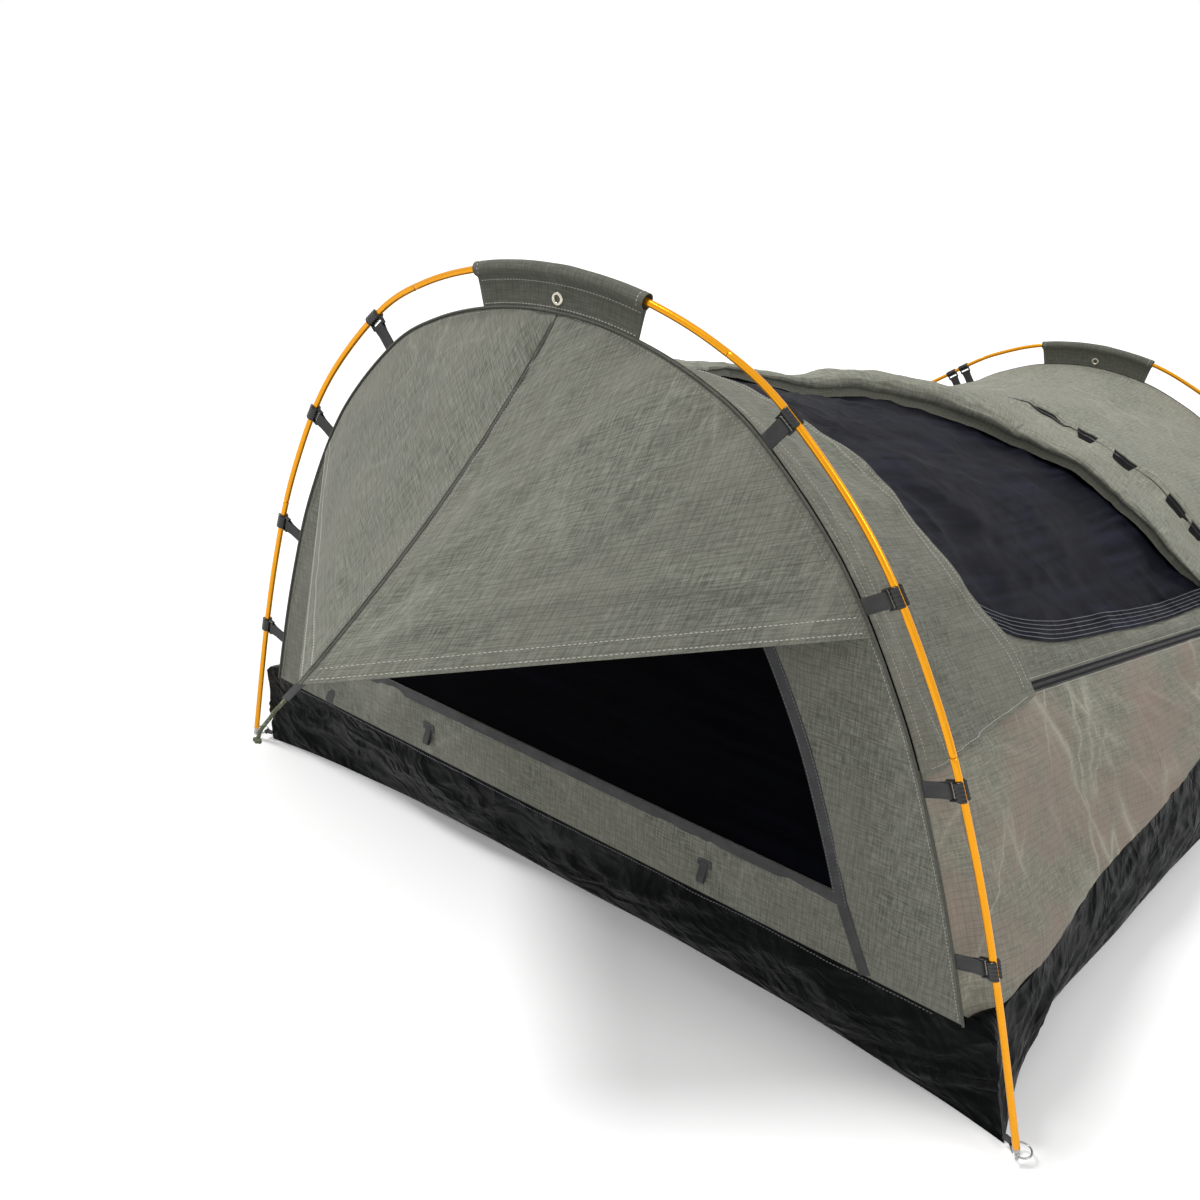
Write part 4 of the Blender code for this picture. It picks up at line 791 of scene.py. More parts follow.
def plastic_look(name, dark, light, roughness):
    look = Look(name, roughness, specular=0.5)
    place = look.place()
    grain = look.noise(place, 1400.0, 2.0)
    rub = look.noise(place, 60.0, 4.0, 0.6)
    base = look.blend(look.span(rub, 0.42, 0.72), dark, light)
    rough = look.span(rub, 0.3, 0.7, roughness - 0.08, roughness + 0.1)
    return look.finish(base, rough, look.bump(grain, 0.25, 0.0003))


def cord_look(name, dark, light):
    """Braided cord: crossing strands."""
    look = Look(name, 0.78, sheen=0.2, specular=0.3)
    x, y = look.cloth_axes(look.cloth())
    one = look.span(look.saw(look.add(x, y), 0.0011), 0.0, 0.0011)
    two = look.span(look.saw(look.calc("SUBTRACT", x, y), 0.0011), 0.0, 0.0011)
    braid = look.product(one, two)
    base = look.blend(look.span(braid, 0.0, 0.7), dark, light)
    flecks = look.span(look.noise(look.place(), 300.0, 2.0), 0.55, 0.65, 0.0, 0.5)
    base = look.blend(flecks, base, times(light, 2.0))
    return look.finish(base, look.span(braid, 0.0, 1.0, 0.86, 0.70), look.bump(braid, 0.7, 0.0008))


def thread_look(name, dark, light):
    look = Look(name, 0.7, sheen=0.2)
    place = look.place()
    twist = look.noise(place, 1500.0, 2.0)
    base = look.blend(look.span(twist, 0.35, 0.65), dark, light)
    rough = look.span(look.noise(place, 90.0), 0.3, 0.7, 0.6, 0.8)
    return look.finish(base, rough, look.bump(twist, 0.4, 0.0003))


# Each look's maker, and the colours and amounts that it takes
LOOKS = {
    "canvas": (canvas_look, (0.130, 0.133, 0.105), (0.330, 0.334, 0.274), (0.275, 0.270, 0.220), 0.26),
    # The canvas at about 0.72 of its brightness, for the awning and the head wall: painted shade where they face
    # away from the light
    "awning_canvas": (canvas_look, (0.090, 0.093, 0.074), (0.238, 0.242, 0.200), (0.205, 0.203, 0.170), 0.34),
    # The canvas at about 0.71 of its brightness, for the head band and the door's sill strip: painted shade that
    # keeps the band dark though it faces the light
    "band_canvas": (canvas_look, (0.092, 0.094, 0.074), (0.236, 0.239, 0.194), (0.205, 0.200, 0.163), 0.30),
    "sleeve_canvas": (canvas_look, (0.075, 0.078, 0.062), (0.145, 0.148, 0.122), (0.125, 0.125, 0.102), 0.25),
    "seam_canvas": (canvas_look, (0.070, 0.073, 0.060), (0.125, 0.128, 0.108), (0.10, 0.10, 0.085), 0.15),
    "wall_canvas": (
        canvas_look, (0.155, 0.155, 0.122), (0.318, 0.312, 0.252), (0.300, 0.240, 0.196), 0.75, 0.90, 28.0,
    ),
    "foam_cover": (canvas_look, (0.060, 0.064, 0.068), (0.112, 0.118, 0.125), (0.09, 0.094, 0.10), 0.10, 0.3),
    "mesh": (mesh_look,),
    # The door mesh's look at 0.15 of its colours, for the window: painted shade of the dark inside of the tent
    # behind the net
    "window_net": (mesh_look, 0.15),
    "pvc": (pvc_look,),
    "webbing": (webbing_look, (0.030, 0.031, 0.031), (0.090, 0.092, 0.090)),
    "webbing_plain": (plastic_look, (0.030, 0.032, 0.032), (0.075, 0.078, 0.078), 0.75),
    "zip": (webbing_look, (0.0022, 0.0022, 0.0026), (0.0095, 0.0095, 0.0105)),
    "zip_coil": (plastic_look, (0.020, 0.020, 0.021), (0.052, 0.052, 0.052), 0.38),
    "clip_plastic": (plastic_look, (0.0035, 0.0035, 0.0038), (0.012, 0.012, 0.0125), 0.28),
    "pole_alloy": (pole_look,),
    "nickel": (metal_look, (0.60, 0.56, 0.46), 0.24),
    "steel": (metal_look, (0.40, 0.40, 0.39), 0.26),
    "cord": (cord_look, (0.050, 0.060, 0.030), (0.150, 0.170, 0.095)),
    "thread": (thread_look, (0.330, 0.325, 0.285), (0.560, 0.550, 0.500)),
    "seam_thread": (thread_look, (0.210, 0.208, 0.180), (0.360, 0.355, 0.315)),
    "hem_thread": (thread_look, (0.110, 0.115, 0.140), (0.230, 0.235, 0.265)),
    "dark_thread": (thread_look, (0.085, 0.088, 0.100), (0.190, 0.195, 0.205)),
}
made_looks = {}


def material(name):
    if name not in made_looks:
        maker, *amounts = LOOKS[name]
        made_looks[name] = maker(name, *amounts)
    return made_looks[name]


# Camera, light and floor


def put(name, data, columns):
    """Places a camera or lamp by its matrix's columns: right, up, back and, if given, its place."""
    obj = bpy.data.objects.new(name, data)
    matrix = Matrix.Identity(4)
    for j, column in enumerate(columns):
        for i in range(3):
            matrix[i][j] = float(column[i])
    obj.matrix_world = matrix
    bpy.context.collection.objects.link(obj)
    return obj


def set_camera():
    azimuth, elevation, roll = (math.radians(a) for a in CAMERA_ANGLES)
    level = math.cos(elevation)
    back = np.array([math.sin(azimuth) * level, -math.cos(azimuth) * level, math.sin(elevation)])
    right = unit(np.cross(UP, back))
    up = np.cross(back, right)
    rolled = math.cos(roll) * right + math.sin(roll) * up, -math.sin(roll) * right + math.cos(roll) * up
    data = bpy.data.cameras.new("view")
    data.lens, data.sensor_width = CAMERA_LENS, CAMERA_SENSOR
    bpy.context.scene.camera = put("view", data, (*rolled, back, CAMERA_PLACE))


def background_share(tree):
    """1 for the rays that show the background: the camera's, and those off metal or through glass."""
    path = tree.nodes.new("ShaderNodeLightPath")
    share = path.outputs["Is Camera Ray"]
    for name in ("Is Glossy Ray", "Is Transmission Ray"):
        larger = tree.nodes.new("ShaderNodeMath")
        larger.operation = "MAXIMUM"
        tree.links.new(share, larger.inputs[0])
        tree.links.new(path.outputs[name], larger.inputs[1])
        share = larger.outputs[0]
    return share


def socket_named(sockets, key):
    return next(item for item in sockets if item.identifier == key)


def set_world():
    """White to the camera, and a soft studio sky, brighter on the key light's side, to the object."""
    world = bpy.data.worlds.new("studio")
    world.use_nodes = True
    tree = world.node_tree
    direction = tree.nodes.new("ShaderNodeTexCoord")
    toward = tree.nodes.new("ShaderNodeVectorMath")
    toward.operation = "DOT_PRODUCT"
    toward.inputs[1].default_value = SKY_TOWARD
    tree.links.new(direction.outputs["Generated"], toward.inputs[0])
    sky = tree.nodes.new("ShaderNodeMapRange")
    for key, value in zip(("From Min", "From Max", "To Min", "To Max"), SKY_FROM + SKY_TO):
        sky.inputs[key].default_value = value
    tree.links.new(toward.outputs["Value"], sky.inputs["Value"])
    level = tree.nodes.new("ShaderNodeMix")
    tree.links.new(background_share(tree), socket_named(level.inputs, "Factor_Float"))
    tree.links.new(sky.outputs[0], socket_named(level.inputs, "A_Float"))
    socket_named(level.inputs, "B_Float").default_value = 1.0
    ground = tree.nodes["Background"]
    ground.inputs["Color"].default_value = WHITE
    tree.links.new(socket_named(level.outputs, "Result_Float"), ground.inputs["Strength"])
    bpy.context.scene.world = world
    bpy.context.scene.view_settings.view_transform = "Standard"


def set_stage():
    set_world()
    for name, energy, angle, toward in SUNS:
        data = bpy.data.lights.new(name, "SUN")
        data.energy, data.angle = energy, math.radians(angle)
        back = unit(np.array(toward))
        right = unit(np.cross(UP, back))
        put(name, data, (right, np.cross(back, right), back))
    mesh = bpy.data.meshes.new("floor")
    corners = [(x * FLOOR_REACH, y * FLOOR_REACH, FLOOR_Z) for x, y in ((-1, -1), (1, -1), (1, 1), (-1, 1))]
    mesh.from_pydata(corners, [], [(0, 1, 2, 3)])
    floor = bpy.data.objects.new("floor", mesh)
    bpy.context.collection.objects.link(floor)
    made = bpy.data.materials.new("floor")
    made.use_nodes = True
    tree = made.node_tree
    shader = tree.nodes["Principled BSDF"]
    for key, value in (("Roughness", 0.9), ("Specular IOR Level", 0.0), ("Emission Color", WHITE)):
        shader.inputs[key].default_value = value
    share = background_share(tree)
    for socket, low, high in (("Base Color", 0.60, 0.97), ("Emission Strength", 0.0, 0.10)):
        tint = tree.nodes.new("ShaderNodeMapRange")
        tint.inputs["To Min"].default_value, tint.inputs["To Max"].default_value = low, high
        tree.links.new(share, tint.inputs["Value"])
        tree.links.new(tint.outputs[0], shader.inputs[socket])
    mesh.materials.append(made)


# Canopy panels


HEM_PATH = smooth_path(HEM)


def hem_line(t):
    return on_table(HEM_PATH, t)


def zip_line(t):
    return on_table(ZIP_TABLE, t)


def zip_gap(t):
    """Half the zip's width as a share of the arch."""
    past = np.maximum(np.maximum(ZIP_HEAD_PLACE[0] - t, t - ZIP_FOOT_PLACE[0]), 0.0) / 0.02
    across = np.linalg.norm(canopy_frame(t, zip_line(t))[1], axis=-1)
    return ZIP_GAP + ZIP_HALF_WIDTH / across * np.clip(1.0 - past, 0.0, 1.0)


def panel(
    name, first, last, low, high, lift, look, pitch=SHEET_PITCH, extra=None,
    rows_of=(), thick=0.0010,
):
    """A canopy panel: a fine closed sheet, wrinkled, with rows of stitches at the places given."""
    count = int((last - first) * LENGTH / pitch) + 2
    t = np.linspace(first, last, count)[:, None]
    bottom, top = low(t), high(t)
    probe = canopy(t, bottom + (top - bottom) * np.linspace(0, 1, 40)[None, :])
    columns = int(np.linalg.norm(np.diff(probe, axis=1), axis=2).sum(axis=1).max() / pitch) + 2
    share = np.linspace(0.0, 1.0, columns)[None, :]
    t, v = np.broadcast_arrays(t, bottom + (top - bottom) * share)
    normals = canopy_frame(t, v)[2]
    smooth = canopy(t, v)
    rise = canopy_wrinkles(t, v) + lift
    if extra is not None:
        rise = rise + extra(t, v)
    uv = np.stack(metres_on(t, v), axis=-1)
    parts = [sheet_part(smooth + rise[..., None] * normals, normals, -thick / 2, thick / 2, uv, look)]
    for places, thread in rows_of:
        a, b = places[:, 0], places[:, 1]
        line, ups = skin(a, b, lift + thick / 2)
        if extra is not None:
            line = line + extra(a, b)[:, None] * ups
        parts.append(stitches(line, ups, thread))
    obj = piece(name, parts, "base")
    sizes_of(smooth)
    area_of(smooth)
    crumples(obj)


def strip_pucker(t, v):
    """Where the sill strip gathers: below the mesh's hem, fading toward the zip."""
    depth = (v - hem_line(t)) / np.maximum(zip_line(t) - zip_gap(t) - hem_line(t), 0.01)
    return smooth_step((depth - 0.05) / 0.2) * smooth_step((1.0 - depth) / 0.4)


def line_places(first, last, value, count=200):
    t = np.linspace(first, last, count)
    return np.stack([t, value(t) + 0.0 * t], axis=1)


def fixed(value):
    return lambda t: value + 0.0 * t


def above_zip(t, more=0.0):
    return zip_line(t) - zip_gap(t) - more


def below_zip(t, more=0.0):
    return zip_line(t) + zip_gap(t) + more


def mesh_sag(t, v):
    """How the door's mesh hangs in between its seams."""
    x, a = metres_on(t, v)
    inner = smooth_step((t - BAND_REAR) / 0.05) * smooth_step((hem_line(t) - HEM_WIDTH - v) / 0.08)
    inner = inner * smooth_step((v - RIDGE) / 0.07) * smooth_step((ZIP_FOOT_PLACE[0] - t) / 0.05)
    long_folds = creases(2.6 * x + 1.2 * a, 11.0 * a + 5.5 * x, 61, 3, 0.5)
    return inner * (-0.010 + 0.0062 * long_folds + 0.0050 * soft_noise(3.5 * x, 5.0 * a, 66))


def hem_swell(t, v):
    share = (v - hem_line(t) + HEM_WIDTH) / HEM_WIDTH
    rows = 0.0007 * np.abs(np.sin(5 * math.pi * share))
    return 0.0026 + rows + 0.0010 * noise(24.0 * t * LENGTH, 2.0 * v, 44)


def build_canopy():
    edge, door_end = 0.0012, ZIP_FOOT_PLACE[0]
    step = 0.006 / HALF_ARCH[0]
    panel(
        "side_wall_left", edge, 1 - edge, fixed(-1.0), fixed(LEFT_WALL + step), 0.0, "wall_canvas",
        rows_of=[(line_places(0.03, 0.97, fixed(-0.992)), "seam_thread")],
    )
    panel(
        "side_wall_right", edge, 1 - edge, below_zip, fixed(1.0), 0.0, "wall_canvas",
        rows_of=[
            (line_places(0.03, 0.97, fixed(0.992)), "seam_thread"),
            (line_places(0.165, 0.595, lambda t: below_zip(t, 0.003)), "thread"),
        ],
    )
    panel(
        "roof_left", BAND_REAR - 0.004, 1 - edge, fixed(LEFT_WALL), fixed(RIDGE + 0.004), 0.0013, "canvas",
        rows_of=[(line_places(BAND_REAR + 0.01, 0.99, fixed(LEFT_WALL + gap)), "thread") for gap in (0.005, 0.012)],
    )
    panel(
        "roof_rear", door_end - 0.002, 1 - edge, fixed(RIDGE), above_zip, 0.0014, "canvas",
        rows_of=[(line_places(0.61, 0.99, fixed(RIDGE + 0.006)), "thread")],
    )
    panel(
        "door_sill_strip", BAND_REAR - 0.004, door_end, lambda t: hem_line(t) - 0.004, above_zip, 0.0006,
        "band_canvas",
        extra=lambda t, v: STRIP_DEPTH * np.abs(noise(26.0 * t * LENGTH, 0.0 * t, 41)) * strip_pucker(t, v),
        rows_of=[(line_places(0.165, 0.595, lambda t: above_zip(t, 0.004)), "thread")],
    )
    panel(
        "door_mesh", BAND_REAR - 0.003, door_end, fixed(RIDGE), lambda t: hem_line(t) - HEM_WIDTH + 0.003,
        -0.0010, "mesh", extra=mesh_sag, thick=0.0006,
    )
    drops = [HEM_WIDTH * (0.10 + 0.2 * k) for k in range(5)]
    panel(
        "door_mesh_hem", BAND_REAR + 0.002, door_end, lambda t: hem_line(t) - HEM_WIDTH,
        lambda t: hem_line(t) + 0.002, 0.0006, "mesh", pitch=HEM_PITCH,
        extra=hem_swell, thick=0.0009,
        rows_of=[
            (line_places(BAND_REAR + 0.006, door_end - 0.002, lambda t, d=drop: hem_line(t) - d), "hem_thread")
            for drop in drops
        ],
    )

    # The band is cut to a point at its lower rear corner, and laps over its neighbours
    v = np.linspace(LEFT_WALL - step, BAND_END, BAND_COLUMNS)[None, :]
    rear = BAND_REAR + BAND_LAP + BAND_POINT * smooth_step((v - 0.50) / 0.16)
    share = np.linspace(0.0, 1.0, BAND_ROWS)[:, None]
    t, v = np.broadcast_arrays(edge + (rear - edge) * share, v)
    x, a = metres_on(t, v)
    hem = smooth_step((share - 0.90) / 0.01) * 0.0007
    corner_lift = 0.0055 * smooth_step((v - 0.46) / 0.06) * smooth_step((t - 0.08) / 0.05)
    rise = canopy_wrinkles(t, v) + 0.0026 + hem + corner_lift
    inside = smooth_step(t / 0.015) * smooth_step((rear - t) / 0.03)
    rise = rise + BAND_DEPTH * inside * creases(17.0 * x, 2.6 * a, 71, 2)
    normals, smooth = canopy_frame(t, v)[2], canopy(t, v)
    grid = smooth + rise[..., None] * normals
    # The band takes the canvas copy darkened with painted shade
    parts = [sheet_part(grid, normals, -0.0005, 0.0005, np.stack([x, a], -1), "band_canvas")]
    over = grid + 0.0005 * normals
    for row in (-2, -4, 7, 2):
        parts.append(stitches(over[row, 3:-3], normals[row, 3:-3], "thread"))
    parts.append(stitches(over[3:-3, -2], normals[3:-3, -2], "thread"))
    band = piece("head_band", parts, None)
    sizes_of(smooth)
    area_of(smooth)
    with_head(band)


# Groundsheet tub and mattress


def round_tub(end_points, side_points):
    """A loop from the head end, up the right side, along the foot and down the left side."""
    ends = np.linspace(-1, 1, TUB_END_COUNT + 1)[:-1]
    sides = np.linspace(0, 1, TUB_SIDE_COUNT + 1)[:-1]
    return np.vstack([
        end_points(ends, -1.0), side_points(sides, 1.0), end_points(-ends, 1.0), side_points(1.0 - sides, -1.0),
    ])


def seam_half(sign):
    """Half the width of an end wall at the tub's seam."""
    return (HEAD_SEAM if sign < 0.0 else FOOT_SEAM)[-1, 0]


def seam_side(t):
    return (1.0 - t) * seam_half(-1.0) + t * seam_half(1.0)


def tub_loop(height, outward=0.0):
    share = height / TUB_SEAM_Z
    billow = WALL_BILLOW * max(1.0 - ((height - BILLOW_Z) / BILLOW_Z) ** 2, 0.0)

    def end_points(across, sign):
        low = CORNER_Y - END_BOW * (1.0 - np.abs(across) ** 3)
        high = HALF_LENGTH + (EAR_Y - HALF_LENGTH) * np.abs(across) ** 12
        bow = billow * (1.0 - np.abs(across) ** 4)
        x = across * ((1.0 - share) * CORNER_X + share * (seam_half(sign) + EAR_REACH))
        return np.stack([x, sign * ((1.0 - share) * low + share * high + bow)], -1)

    def side_points(t, sign):
        inner = 1.0 - 2.0 * np.abs(t - 0.5)
        wall = seam_side(t) + seam_bulge(t) - 0.0010
        ear = smooth_step(1.0 - inner / 0.09)
        high = (1.0 - ear) * wall + ear * np.maximum(seam_side(t) + EAR_REACH, wall)
        low = CORNER_X * on_table(FLOOR_SIDE, t)
        x = (1.0 - share) * low + share * high + billow * smooth_step(inner / 0.2)
        return np.stack([sign * x, (2.0 * t - 1.0) * ((1.0 - share) * CORNER_Y + share * EAR_Y)], -1)

    flat = round_tub(end_points, side_points)
    run = unit(np.roll(flat, -2, axis=0) - np.roll(flat, 2, axis=0))
    return flat + np.asarray(outward)[..., None] * np.stack([run[:, 1], -run[:, 0]], axis=1)


def wall_seam_loop(inward):
    """The foot of the walls, point for point with the tub's top."""
    def end_points(across, sign):
        y = np.full(len(across), sign * (HALF_LENGTH - inward))
        return np.stack([across * (seam_half(sign) - inward), y], -1)

    def side_points(t, sign):
        wall = seam_side(t) + seam_bulge(t) - inward
        return np.stack([sign * wall, (2.0 * t - 1.0) * (HALF_LENGTH - inward)], -1)

    return round_tub(end_points, side_points)


def build_tub():
    top, seam_z = TUB_SEAM_Z - 0.0008, TUB_SEAM_Z - 0.0068
    heights = np.concatenate([[0.0, 0.002, 0.006], np.linspace(0.013, top, 22)])
    base = tub_loop(0.5 * top)
    s = np.concatenate([[0.0], np.linalg.norm(np.diff(base, axis=0), axis=1).cumsum()])
    total = s[-1] + np.linalg.norm(base[0] - base[-1])
    angle = 2 * math.pi * s / total
    ring_u, ring_v = total / (2 * math.pi) * np.cos(angle), total / (2 * math.pi) * np.sin(angle)

    def crush(height):
        waist = np.sin(math.pi * min(max(height / top, 0.0), 1.0)) ** 0.7
        lean = 1.4 * height
        deep = creases(5.0 * (ring_u + lean), 5.0 * (ring_v - lean) + 9.0 * height, 81, 3)
        folds = creases(15.0 * ring_u + 30.0 * height, 15.0 * ring_v - 16.0 * height, 84, 2)
        underside = UNDERSIDE_DEPTH * noise(9.0 * ring_u, 9.0 * ring_v, 88) * (height / top < 0.05)
        return waist * (CRUSH_DEPTH * deep + CRUSH_FINE_DEPTH * folds) + underside

    def ring(flat, z):
        return np.column_stack([flat, z + np.zeros(len(s))])

    rings = [ring(tub_loop(h, crush(h)), h) for h in heights] + [ring(tub_loop(top, -0.0014), top)]
    rings += [ring(tub_loop(h, crush(h) - 0.0016), h) for h in heights[::-1] if PVC < h < top]
    floor = tub_loop(PVC, -0.004)
    rings.append(ring(floor, PVC))
    for size in (0.92, 0.80, 0.64, 0.46, 0.28, 0.10):
        rings.append(ring(floor * size, PVC + 0.0003 * (noise(6 * size * ring_u, 6 * size * ring_v, 90) - 1.0)))
    parts = [loft_part(rings, "pvc")]
    # The corners' ears are closed on top, out from the seam under the walls
    outer, rim = tub_loop(top, 0.0004), wall_seam_loop(0.004)
    swell = 0.30 * np.linalg.norm(outer - rim, axis=1)
    middle = 0.5 * (outer + rim)
    lid = (
        (outer, 0.0), (0.5 * (outer + middle), 0.8 * swell), (middle, swell), (0.5 * (middle + rim), 0.9 * swell),
        (rim, 0.0016), (rim, 0.0), (outer, -0.0012),
    )
    parts.append(loft_part([ring(loop, top + rise) for loop, rise in lid], "pvc", closed=True))
    seam = ring(tub_loop(seam_z, 0.0012 + crush(seam_z)), seam_z)
    outward = unit(ring(tub_loop(top, 1.0) - tub_loop(top), 0.0))
    for start in (0, TUB_END_COUNT + TUB_SIDE_COUNT):
        rows = slice(start + 8, start + TUB_END_COUNT - 8)
        parts.append(stitches(seam[rows], outward[rows], "dark_thread"))
    piece("groundsheet_tub", parts, "base", 65.0, ("floor_tub",))


def build_mattress():
    """A foam pad in a sewn cover, puffed by a short cloth simulation, with a piped edge."""
    low, high = (np.array(corner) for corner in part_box("mattress"))
    centre, half = (low + high) / 2, (high - low) / 2

    def outline(size, z, count=132):
        a = np.linspace(0, 2 * math.pi, count, endpoint=False)
        rounded = [np.sign(wave) * np.abs(wave) ** 0.22 for wave in (np.cos(a), np.sin(a))]
        x, y = (wave * (reach - MATTRESS_INSET) * size for wave, reach in zip(rounded, half))
        return np.stack([x, y, np.full(count, z)], -1) + [centre[0], centre[1], 0.0]

    base, top = low[2] + 0.001, high[2] - 0.010
    levels = [(0.985, base), (1.0, base + 0.010), (1.0, base + 0.030), (1.0, top - 0.010), (0.985, top)]
    rings = [outline(size, z) for size, z in levels]
    obj = piece("mattress_pad", [loft_part(rings, "foam_cover")], None, replaced=())
    remesh = obj.modifiers.new("even", "REMESH")
    remesh.mode, remesh.voxel_size = "VOXEL", 0.016
    flatten(obj)
    rest = positions(obj)
    cloth = obj.modifiers.new("puff", "CLOTH")
    cloth.settings.use_pressure = True
    cloth.settings.uniform_pressure_force = 4.0
    cloth.settings.effector_weights.gravity = 0.0
    cloth.settings.quality = 4
    cloth.point_cache.frame_start, cloth.point_cache.frame_end = 1, PUFF_FRAMES
    scene = bpy.context.scene
    for number in range(1, PUFF_FRAMES + 1):
        scene.frame_set(number)
    flatten(obj)
    scene.frame_set(1)
    shift = positions(obj) - rest
    size = np.linalg.norm(shift, axis=1, keepdims=True)
    set_positions(obj, rest + shift * np.minimum(1.0, PUFF_LIMIT / np.maximum(size, 1e-9)))
    points = positions(obj)
    x, y = (1 - np.abs((points[:, k] - centre[k]) / half[k]) ** 6 for k in (0, 1))
    up = smooth_step((points[:, 2] - centre[2]) / 0.03)
    points[:, 2] += up * (x * y) * (0.0015 * creases(5 * points[:, 0], 5 * points[:, 1], 95) + 0.004)
    set_positions(obj, np.clip(points, low, high))
    even_out = obj.modifiers.new("fine", "SUBSURF")
    even_out.levels = even_out.render_levels = 1
    flatten(obj)
    obj.data.shade_smooth()
    obj.data.materials.clear()
    obj.data.materials.append(material("foam_cover"))
    flat_uv(obj)
    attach(obj, "base")
    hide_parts("mattress")
    loop = outline(1.0, top + 0.001, 260)
    loop[:, :2] = centre[:2] + (loop[:, :2] - centre[:2]) * 0.996
    side = unit(np.cross(UP, unit(np.roll(loop, -1, axis=0) - np.roll(loop, 1, axis=0))))
    rings = rings_round(loop, PIPING_RADIUS, side, np.broadcast_to(UP, side.shape), 10)
    piece("mattress_piping", [loft_part(rings, "foam_cover", closed=True)], "base", replaced=())


def flatten(obj):
    """Applies the object's modifiers to its mesh."""
    graph = bpy.context.evaluated_depsgraph_get()
    mesh = bpy.data.meshes.new_from_object(obj.evaluated_get(graph))
    obj.modifiers.clear()
    obj.data = mesh


def positions(obj):
    out = np.empty(len(obj.data.vertices) * 3)
    obj.data.vertices.foreach_get("co", out)
    return out.reshape(-1, 3)


def set_positions(obj, points):
    obj.data.vertices.foreach_set("co", np.asarray(points, float).ravel())
    obj.data.update()


def flat_uv(obj):
    mesh = obj.data
    while mesh.uv_layers:
        mesh.uv_layers.remove(mesh.uv_layers[0])
    points = positions(obj)
    write_uv(mesh, points[:, :2] + 0.6 * points[:, 2:])


# End walls, window, awning


def wall_sides(flat, share, y, wrinkle, thick):
    """The front and back of an end wall's cloth, wrinkled along Y."""
    depth = wrinkle(flat[..., 0], flat[..., 1], share)
    return [np.stack([flat[..., 0], y + side * thick / 2 + depth, flat[..., 1]], -1) for side in (-1, 1)]


def wall_ring(outer, inner, y, rows, wrinkle, thick, look):
    """A flat ring of cloth between two outlines."""
    share = np.linspace(0, 1, rows)[:, None, None]
    flat = outer[None] + share * (inner - outer)[None]
    front, back = wall_sides(flat, share[..., 0], y, wrinkle, thick)
    return loft_part(np.concatenate([front, back[::-1]]), look, closed=True, uv=np.concatenate([flat, flat[::-1]]))


def wall_plate(outline, centre, y, wrinkle, thick, look, rows=34):
    """A flat plate of cloth inside an outline."""
    size = np.linspace(1.0, 0.015, rows)[:, None, None]
    flat = centre + size * (outline - centre)[None]
    front, back = wall_sides(flat, 1.0 - size[..., 0], y, wrinkle, thick)
    return loft_part(np.concatenate([front[::-1], back]), look, uv=np.concatenate([flat[::-1], flat]))


def bound_edge(line, y, binding_count, row_count):
    """The binding round an end wall's arch, and a row of stitches inside it."""
    out = math.copysign(1.0, y)
    binding = even(above(inset(line, CANVAS_GAP - 0.0005), TUB_SEAM_Z + 0.001), binding_count)
    beside = even(above(inset(line, CANVAS_GAP + 0.006), TUB_SEAM_Z + 0.004), row_count)
    return [
        tube_part(in_plane(binding, y + 0.0022 * out), BINDING_RADIUS, "seam_canvas", 10, ALONG),
        stitches(in_plane(beside, y + 0.0010 * out), out * ALONG, "thread"),
    ]


def wall_outline(line):
    return arch_outline(line, CANVAS_GAP - 0.001, TUB_SEAM_Z + WALL_LAP)


def head_wrinkle(x, z, share):
    held = np.sin(math.pi * share) ** 0.8
    low = smooth_step((0.30 - z) / 0.06)
    out = 0.0030 * creases(7 * x, 8 * z, 101) + 0.0016 * creases(19 * x + 6 * z, 15 * z, 103, 2)
    return held * (out - 0.0015) + 0.003 * low * held * noise(14 * x, 0 * x, 105)


def window_wrinkle(x, z, share):
    return smooth_step(share / 0.2) * (0.004 + 0.0022 * creases(3 * x, 9 * z + 2 * x, 111, 2)) + 0.0002


def tape_wrinkle(x, z, share):
    return -0.0005 * np.sin(math.pi * share) + 0.0 * x


def foot_wrinkle(x, z, share):
    out = 0.0035 * creases(6 * x, 8 * z, 121) + 0.002 * soft_noise(3 * x, 4 * z, 125) + 0.001
    return smooth_step(share / 0.12) * out


def build_end_walls():
    outer, inner = wall_outline(HEAD_LINE), arch_outline(HEAD_LINE, WINDOW_INSET, WINDOW_SILL_Z)
    # The head wall takes the canvas copy darkened with painted shade
    parts = [wall_ring(outer, inner, -HALF_LENGTH, 18, head_wrinkle, WALL_CLOTH, "awning_canvas")]
    wall = piece("head_wall", parts + bound_edge(HEAD_LINE, -HALF_LENGTH, 300, 400), None)
    with_head(wall)

    opening = arch_outline(HEAD_LINE, WINDOW_INSET + WALL_LAP, WINDOW_SILL_Z + WALL_LAP)
    middle = np.array([0.0, 0.5 * (WINDOW_SILL_Z + opening[:, 1].max())])
    parts = [wall_plate(opening, middle, -HALF_LENGTH, window_wrinkle, 0.0006, "window_net")]
    window = piece("window_mesh", parts, None)
    with_head(window)
    build_window_tape()
    for name, sign in (("sill_loop_left", -1.0), ("sill_loop_right", 1.0)):
        build_sill_loop(name, sign * SILL_LOOP_X)

    outline = wall_outline(FOOT_LINE)
    parts = [wall_plate(outline, np.array([0.0, 0.29]), HALF_LENGTH, foot_wrinkle, WALL_CLOTH, "canvas")]
    wall = piece("foot_wall", parts + bound_edge(FOOT_LINE, HALF_LENGTH, 240, 300), None)
    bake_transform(wall)


